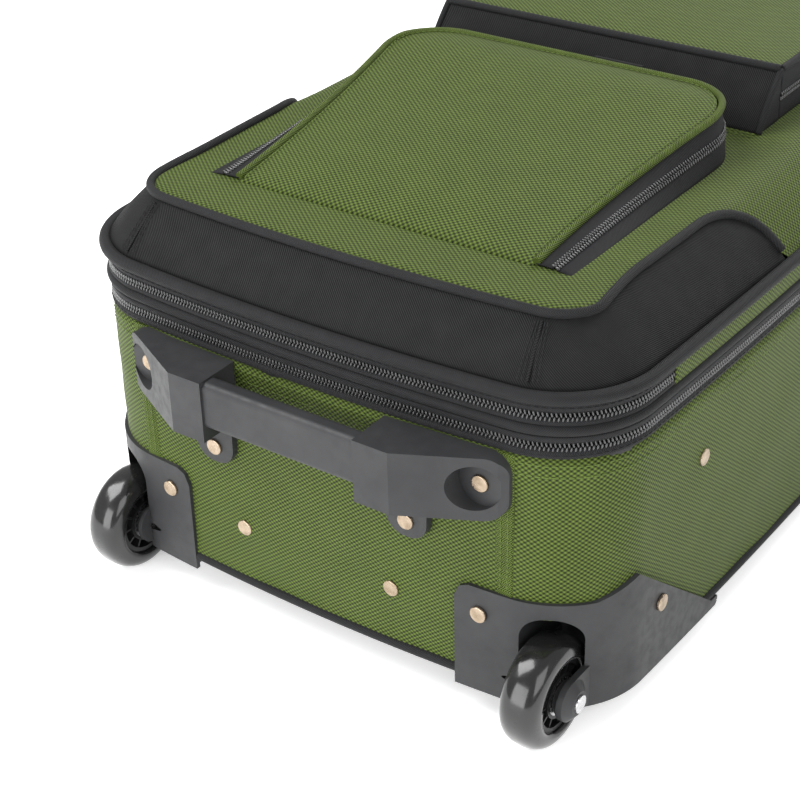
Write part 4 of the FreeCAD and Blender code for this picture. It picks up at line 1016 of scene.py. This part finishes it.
def build_slope():
    """The black sloped front of the upper pocket, its side gores and its piped top edge."""
    half, foot, head = UPPER["half"], 276, UPPER["start"]
    base, rise = FACE - 0.6, UPPER_TOP - 1 - FACE
    lean = math.atan2(rise, head - foot)
    out = np.array([0, -math.sin(lean), math.cos(lean)])
    x = np.linspace(-half - 0.5, half + 0.5, 90)
    share = np.linspace(0, 1, 18)
    bulge = 1.6 * np.sin(math.pi * share)
    ys = foot + (head - foot) * share - bulge * math.sin(lean)
    zs = base + (rise + 0.6) * share + bulge * math.cos(lean)
    points = np.stack([np.repeat(x[:, None], 18, 1), np.broadcast_to(ys, (90, 18)),
                       np.broadcast_to(zs, (90, 18))], -1)
    swell = ripple(points[..., 0], points[..., 2] * 3, 0.35, 0.6) * np.sin(math.pi * share)[None]
    points = points + swell[..., None] * out
    thicken(grid("upper_slope_cloth", points, points[..., [0, 2]] * np.array([1, 1.3]), BLACK,
                 "lid"), 1.0)
    rows, deep, fine = np.linspace(0, 1, 14), np.linspace(0, 1, 10), np.linspace(0, 1, 30)
    for label, side in (("left", -1), ("right", 1)):
        yy = foot + (head - foot) * rows[:, None] + np.zeros((14, 10))
        top = base + (rise + 0.6) * rows[:, None]
        zz = base + (top - FACE + 0.6) * deep[None]
        gore = np.stack([np.full((14, 10), side * (half + 0.5)), yy, zz], -1)
        thicken(grid(f"upper_gore_{label}", gore, gore[..., [1, 2]], GUSSET, "lid",
                     flip=side < 0), 1.0)
        edge = np.column_stack([np.full(30, side * half), np.interp(fine, share, ys),
                                np.interp(fine, share, zs)])
        sweep(f"upper_gore_piping_{label}", edge, np.tile([side * 1.0, 0, 0.3], (30, 1)),
              round_section(2.0, 10), TAPE, "lid")
    line = np.linspace(-half, half, 60)
    head_path = np.column_stack([line, np.full(60, head - 0.5), np.full(60, UPPER_TOP - 0.6)])
    sweep("upper_head_piping", head_path, np.tile([0.0, -0.6, 0.8], (60, 1)),
          round_section(2.3, 12), TAPE, "lid")
    for number, y0 in enumerate((foot - 3, foot - 7)):
        row = np.column_stack([line, np.full(60, y0), np.full(60, PANEL_TOP + 0.25)])
        stitches(f"slope_foot_stitches_{number}", row, np.tile([0.0, 0.0, 1.0], (60, 1)), "lid",
                 GREEN_THREAD)


# ---- wheels, handles and pullers -----------------------------------------------------------------

def lathe(name, centre, profile, material, body, count=96):
    """A closed profile of (x offset, radius) turned round the wheel's axis."""
    profile = np.asarray(profile, float)
    ring = np.vstack([profile, profile[:1]])
    turn = np.arange(count) * 2 * math.pi / count
    points = np.stack([
        centre[0] + np.repeat(ring[None, :, 0], count, 0),
        centre[1] + ring[None, :, 1] * np.cos(turn)[:, None],
        centre[2] + ring[None, :, 1] * np.sin(turn)[:, None]], -1)
    girth = distances(ring)
    run = np.arange(count + 1) * 2 * math.pi / count * profile[:, 1].max()
    uv = cloth_map(run, girth)
    return weld(grid(name, points, uv, material, body, close=True))


def build_wheels():
    for side in ("left", "right"):
        low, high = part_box(f"tyre_{side}")
        middle = (np.array(low) + np.array(high)) / 2 / MM - ORIGIN
        half = (high.x - low.x) / 2 / MM
        outer = (high.z - low.z) / 2 / MM
        bore = (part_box(f"hub_{side}")[1].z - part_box(f"hub_{side}")[0].z) / 2 / MM + 0.1
        turn = np.radians(np.linspace(-90, 90, 30))
        crown = [(half * math.copysign(abs(math.sin(a)) ** 0.8, a),
                  bore + 1.2 + (outer - bore - 1.2) * abs(math.cos(a)) ** 0.75) for a in turn]
        profile = [(half * 0.8, bore)] + [(x, r) for x, r in crown[::-1]] + [(-half * 0.8, bore)]
        tyre = lathe(f"tyre_{side}_rubber", middle, profile, TYRE, f"wheel_{side}")
        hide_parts(f"tyre_{side}")


def swollen(share, power):
    """A cosine or sine bent towards a rounded square."""
    return math.copysign(abs(share) ** power, share)


def build_grip(name, node, body, span_axis, out):
    """A padded carry grip: a stuffed sleeve that narrows to its two ends."""
    low, high = case_box(node)
    middle = (low + high) / 2
    half = (high - low)[span_axis] / 2
    thick_axis = 1 if span_axis == 0 else 0
    thick = (high - low)[thick_axis] / 2
    wide = (high - low)[2] / 2
    rows = np.linspace(-1, 1, 60)
    turn = np.arange(28) * 2 * math.pi / 28
    points = np.zeros((60, 29, 3))
    for i, share in enumerate(rows):
        fat = 0.55 + 0.42 * (1 - abs(share) ** 5)
        for j in range(29):
            a = turn[j % 28]
            spot = middle.copy()
            spot[span_axis] += half * share
            spot[thick_axis] += thick * fat * swollen(math.cos(a), 0.75)
            spot[2] += wide * 0.97 * swollen(math.sin(a), 0.75)
            points[i, j] = spot
    uv = cloth_map(rows * half, np.arange(29) * 2.6)
    piece = grid(name, points, uv, BLACK, body, "webbing")
    cap_ends(piece, 29, 60)
    weld(piece)
    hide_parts(node)
    face = middle[thick_axis] + out * (thick * 0.93)
    up = np.zeros(3)
    up[thick_axis] = out
    for number, z in enumerate((-wide * 0.72, wide * 0.72)):
        path = np.zeros((40, 3))
        path[:, span_axis] = middle[span_axis] + np.linspace(-half * 0.8, half * 0.8, 40)
        path[:, thick_axis] = face
        path[:, 2] = middle[2] + z
        stitches(f"{name}_stitches_{number}", path, np.tile(up, (40, 1)), body, THREAD,
                 slot_name="webbing")


TAB_LENGTH, TAB_DEPTH, TAB_HEIGHT = 32.0, 2.0, 11.0


def build_pocket_pullers():
    """A webbing tab round the end of each pocket's puller."""
    for label in ("lower", "upper"):
        low, high = case_box(f"{label}_pocket_puller")
        tab_low = np.array([low[0], high[1] - TAB_DEPTH, high[2] - TAB_HEIGHT])
        tab_high = np.array([low[0] + TAB_LENGTH, high[1], high[2]])
        middle = (tab_low + tab_high) / 2
        size = (tab_high - tab_low) / 2
        turn = np.arange(24) * 2 * math.pi / 24
        rows = np.linspace(-1, 1, 24)
        points = np.zeros((24, 25, 3))
        for i, share in enumerate(rows):
            for j in range(25):
                a = turn[j % 24]
                points[i, j] = middle + np.array([
                    (size[0] + 0.4) * share,
                    (size[1] + 0.4) * swollen(math.cos(a), 0.4),
                    (size[2] + 0.4) * swollen(math.sin(a), 0.4)])
        uv = cloth_map(rows * size[0], np.arange(25) * 1.1)
        tab = grid(f"{label}_pocket_tab", points, uv, TAPE, f"{label}_pocket_puller", "webbing")
        cap_ends(tab, 25, 24)
        weld(tab)


# ---- stage, light and camera ---------------------------------------------------------------------

WHEEL_CONTACT = (1.0, -22.6)
BACK_CONTACT = -1.1
CAMERA_SPOT = (520.1, -630.8, 631.9)
CAMERA_ANGLES = (36.3, 31.2, -1.6)
LENS_WIDTHS = 2.26


def build_stage():
    """A pale floor, soft lights, and the camera.

    The floor runs under the wheels and the far back edge, and level beyond that edge, so that
    the drawn-out pull handle stays clear of it.
    """
    near, far = WHEEL_CONTACT, (LENGTH + END_BOW, BACK_CONTACT)
    lean = math.atan2(far[1] - near[1], far[0] - near[0])
    mesh = bpy.data.meshes.new("floor")
    reach = 4000.0
    start = (near[0] - reach * math.cos(lean), near[1] - reach * math.sin(lean))
    profile = (start, far, (far[0] + reach, far[1]))
    corners = [(side * reach, y, z) for y, z in profile for side in (-1, 1)]
    mesh.from_pydata(place(corners).tolist(), [], [[0, 1, 3, 2], [2, 3, 5, 4]])
    floor = bpy.data.objects.new("floor", mesh)
    link(floor)
    paint = Tree("floor paint", Roughness=0.7, Specular_IOR_Level=0.1, Emission_Strength=0.42)
    paint.shader.inputs["Emission Color"].default_value = (1, 1, 1, 1)
    paint.colour(paint.ramp(paint.noise(2.0), (0.3, (0.93,) * 3), (0.7, (0.95,) * 3)))
    mesh.materials.append(paint.material)

    world = bpy.data.worlds.new("studio")
    bpy.context.scene.world = world
    world.use_nodes = True
    tree = world.node_tree
    lit = tree.nodes["Background"]
    lit.inputs["Color"].default_value = (1, 1, 1, 1)
    lit.inputs["Strength"].default_value = 0.5
    seen = tree.nodes.new("ShaderNodeBackground")
    seen.inputs["Color"].default_value = (1, 1, 1, 1)
    path = tree.nodes.new("ShaderNodeLightPath")
    mix = tree.nodes.new("ShaderNodeMixShader")
    tree.links.new(path.outputs["Is Camera Ray"], mix.inputs[0])
    tree.links.new(lit.outputs[0], mix.inputs[1])
    tree.links.new(seen.outputs[0], mix.inputs[2])
    tree.links.new(mix.outputs[0], tree.nodes["World Output"].inputs[0])
    for name, spot, aim, size, power in (
            ("key", (-0.9, -0.7, 1.6), (0, 0, 0.1), 1.1, 31),
            ("fill", (1.5, -0.9, 1.1), (0, 0, 0.1), 1.4, 19),
            ("front", (-0.3, -1.9, 0.45), (0, 0, 0.1), 1.2, 24),
            ("rim", (0.2, 1.5, 1.5), (0, 0, 0.15), 1.2, 26)):
        light = bpy.data.lights.new(name, "AREA")
        light.size = size
        light.energy = power
        lamp = bpy.data.objects.new(name, light)
        lamp.location = spot
        lamp.rotation_mode = "QUATERNION"
        lamp.rotation_quaternion = (Vector(aim) - Vector(spot)).to_track_quat("-Z", "Y")
        link(lamp)

    camera = bpy.data.objects.new("camera", bpy.data.cameras.new("camera"))
    link(camera)
    azimuth, elevation, roll = (math.radians(a) for a in CAMERA_ANGLES)
    back = Vector((math.sin(azimuth) * math.cos(elevation),
                   -math.cos(azimuth) * math.cos(elevation), math.sin(elevation)))
    turn = (-back).to_track_quat("-Z", "Y").to_matrix() @ Matrix.Rotation(roll, 3, "Z")
    camera.matrix_world = Matrix.Translation(place(CAMERA_SPOT)) @ turn.to_4x4()
    camera.data.sensor_width = 36
    camera.data.lens = camera.data.sensor_width * LENS_WIDTHS
    camera.data.clip_start = 0.01
    bpy.context.scene.camera = camera
    bpy.context.scene.view_settings.view_transform = "Standard"


finish_cad()
build_shell_cloth()
build_bands()
build_lid_band()
build_front_panel()
build_lower_pocket()
build_upper_pocket()
build_wheels()
build_grip("top_grip_pad", "top_carry_grip", "top_grip", 0, 1)
build_grip("side_grip_pad", "side_carry_grip", "side_grip", 1, -1)
build_pocket_pullers()
build_stage()
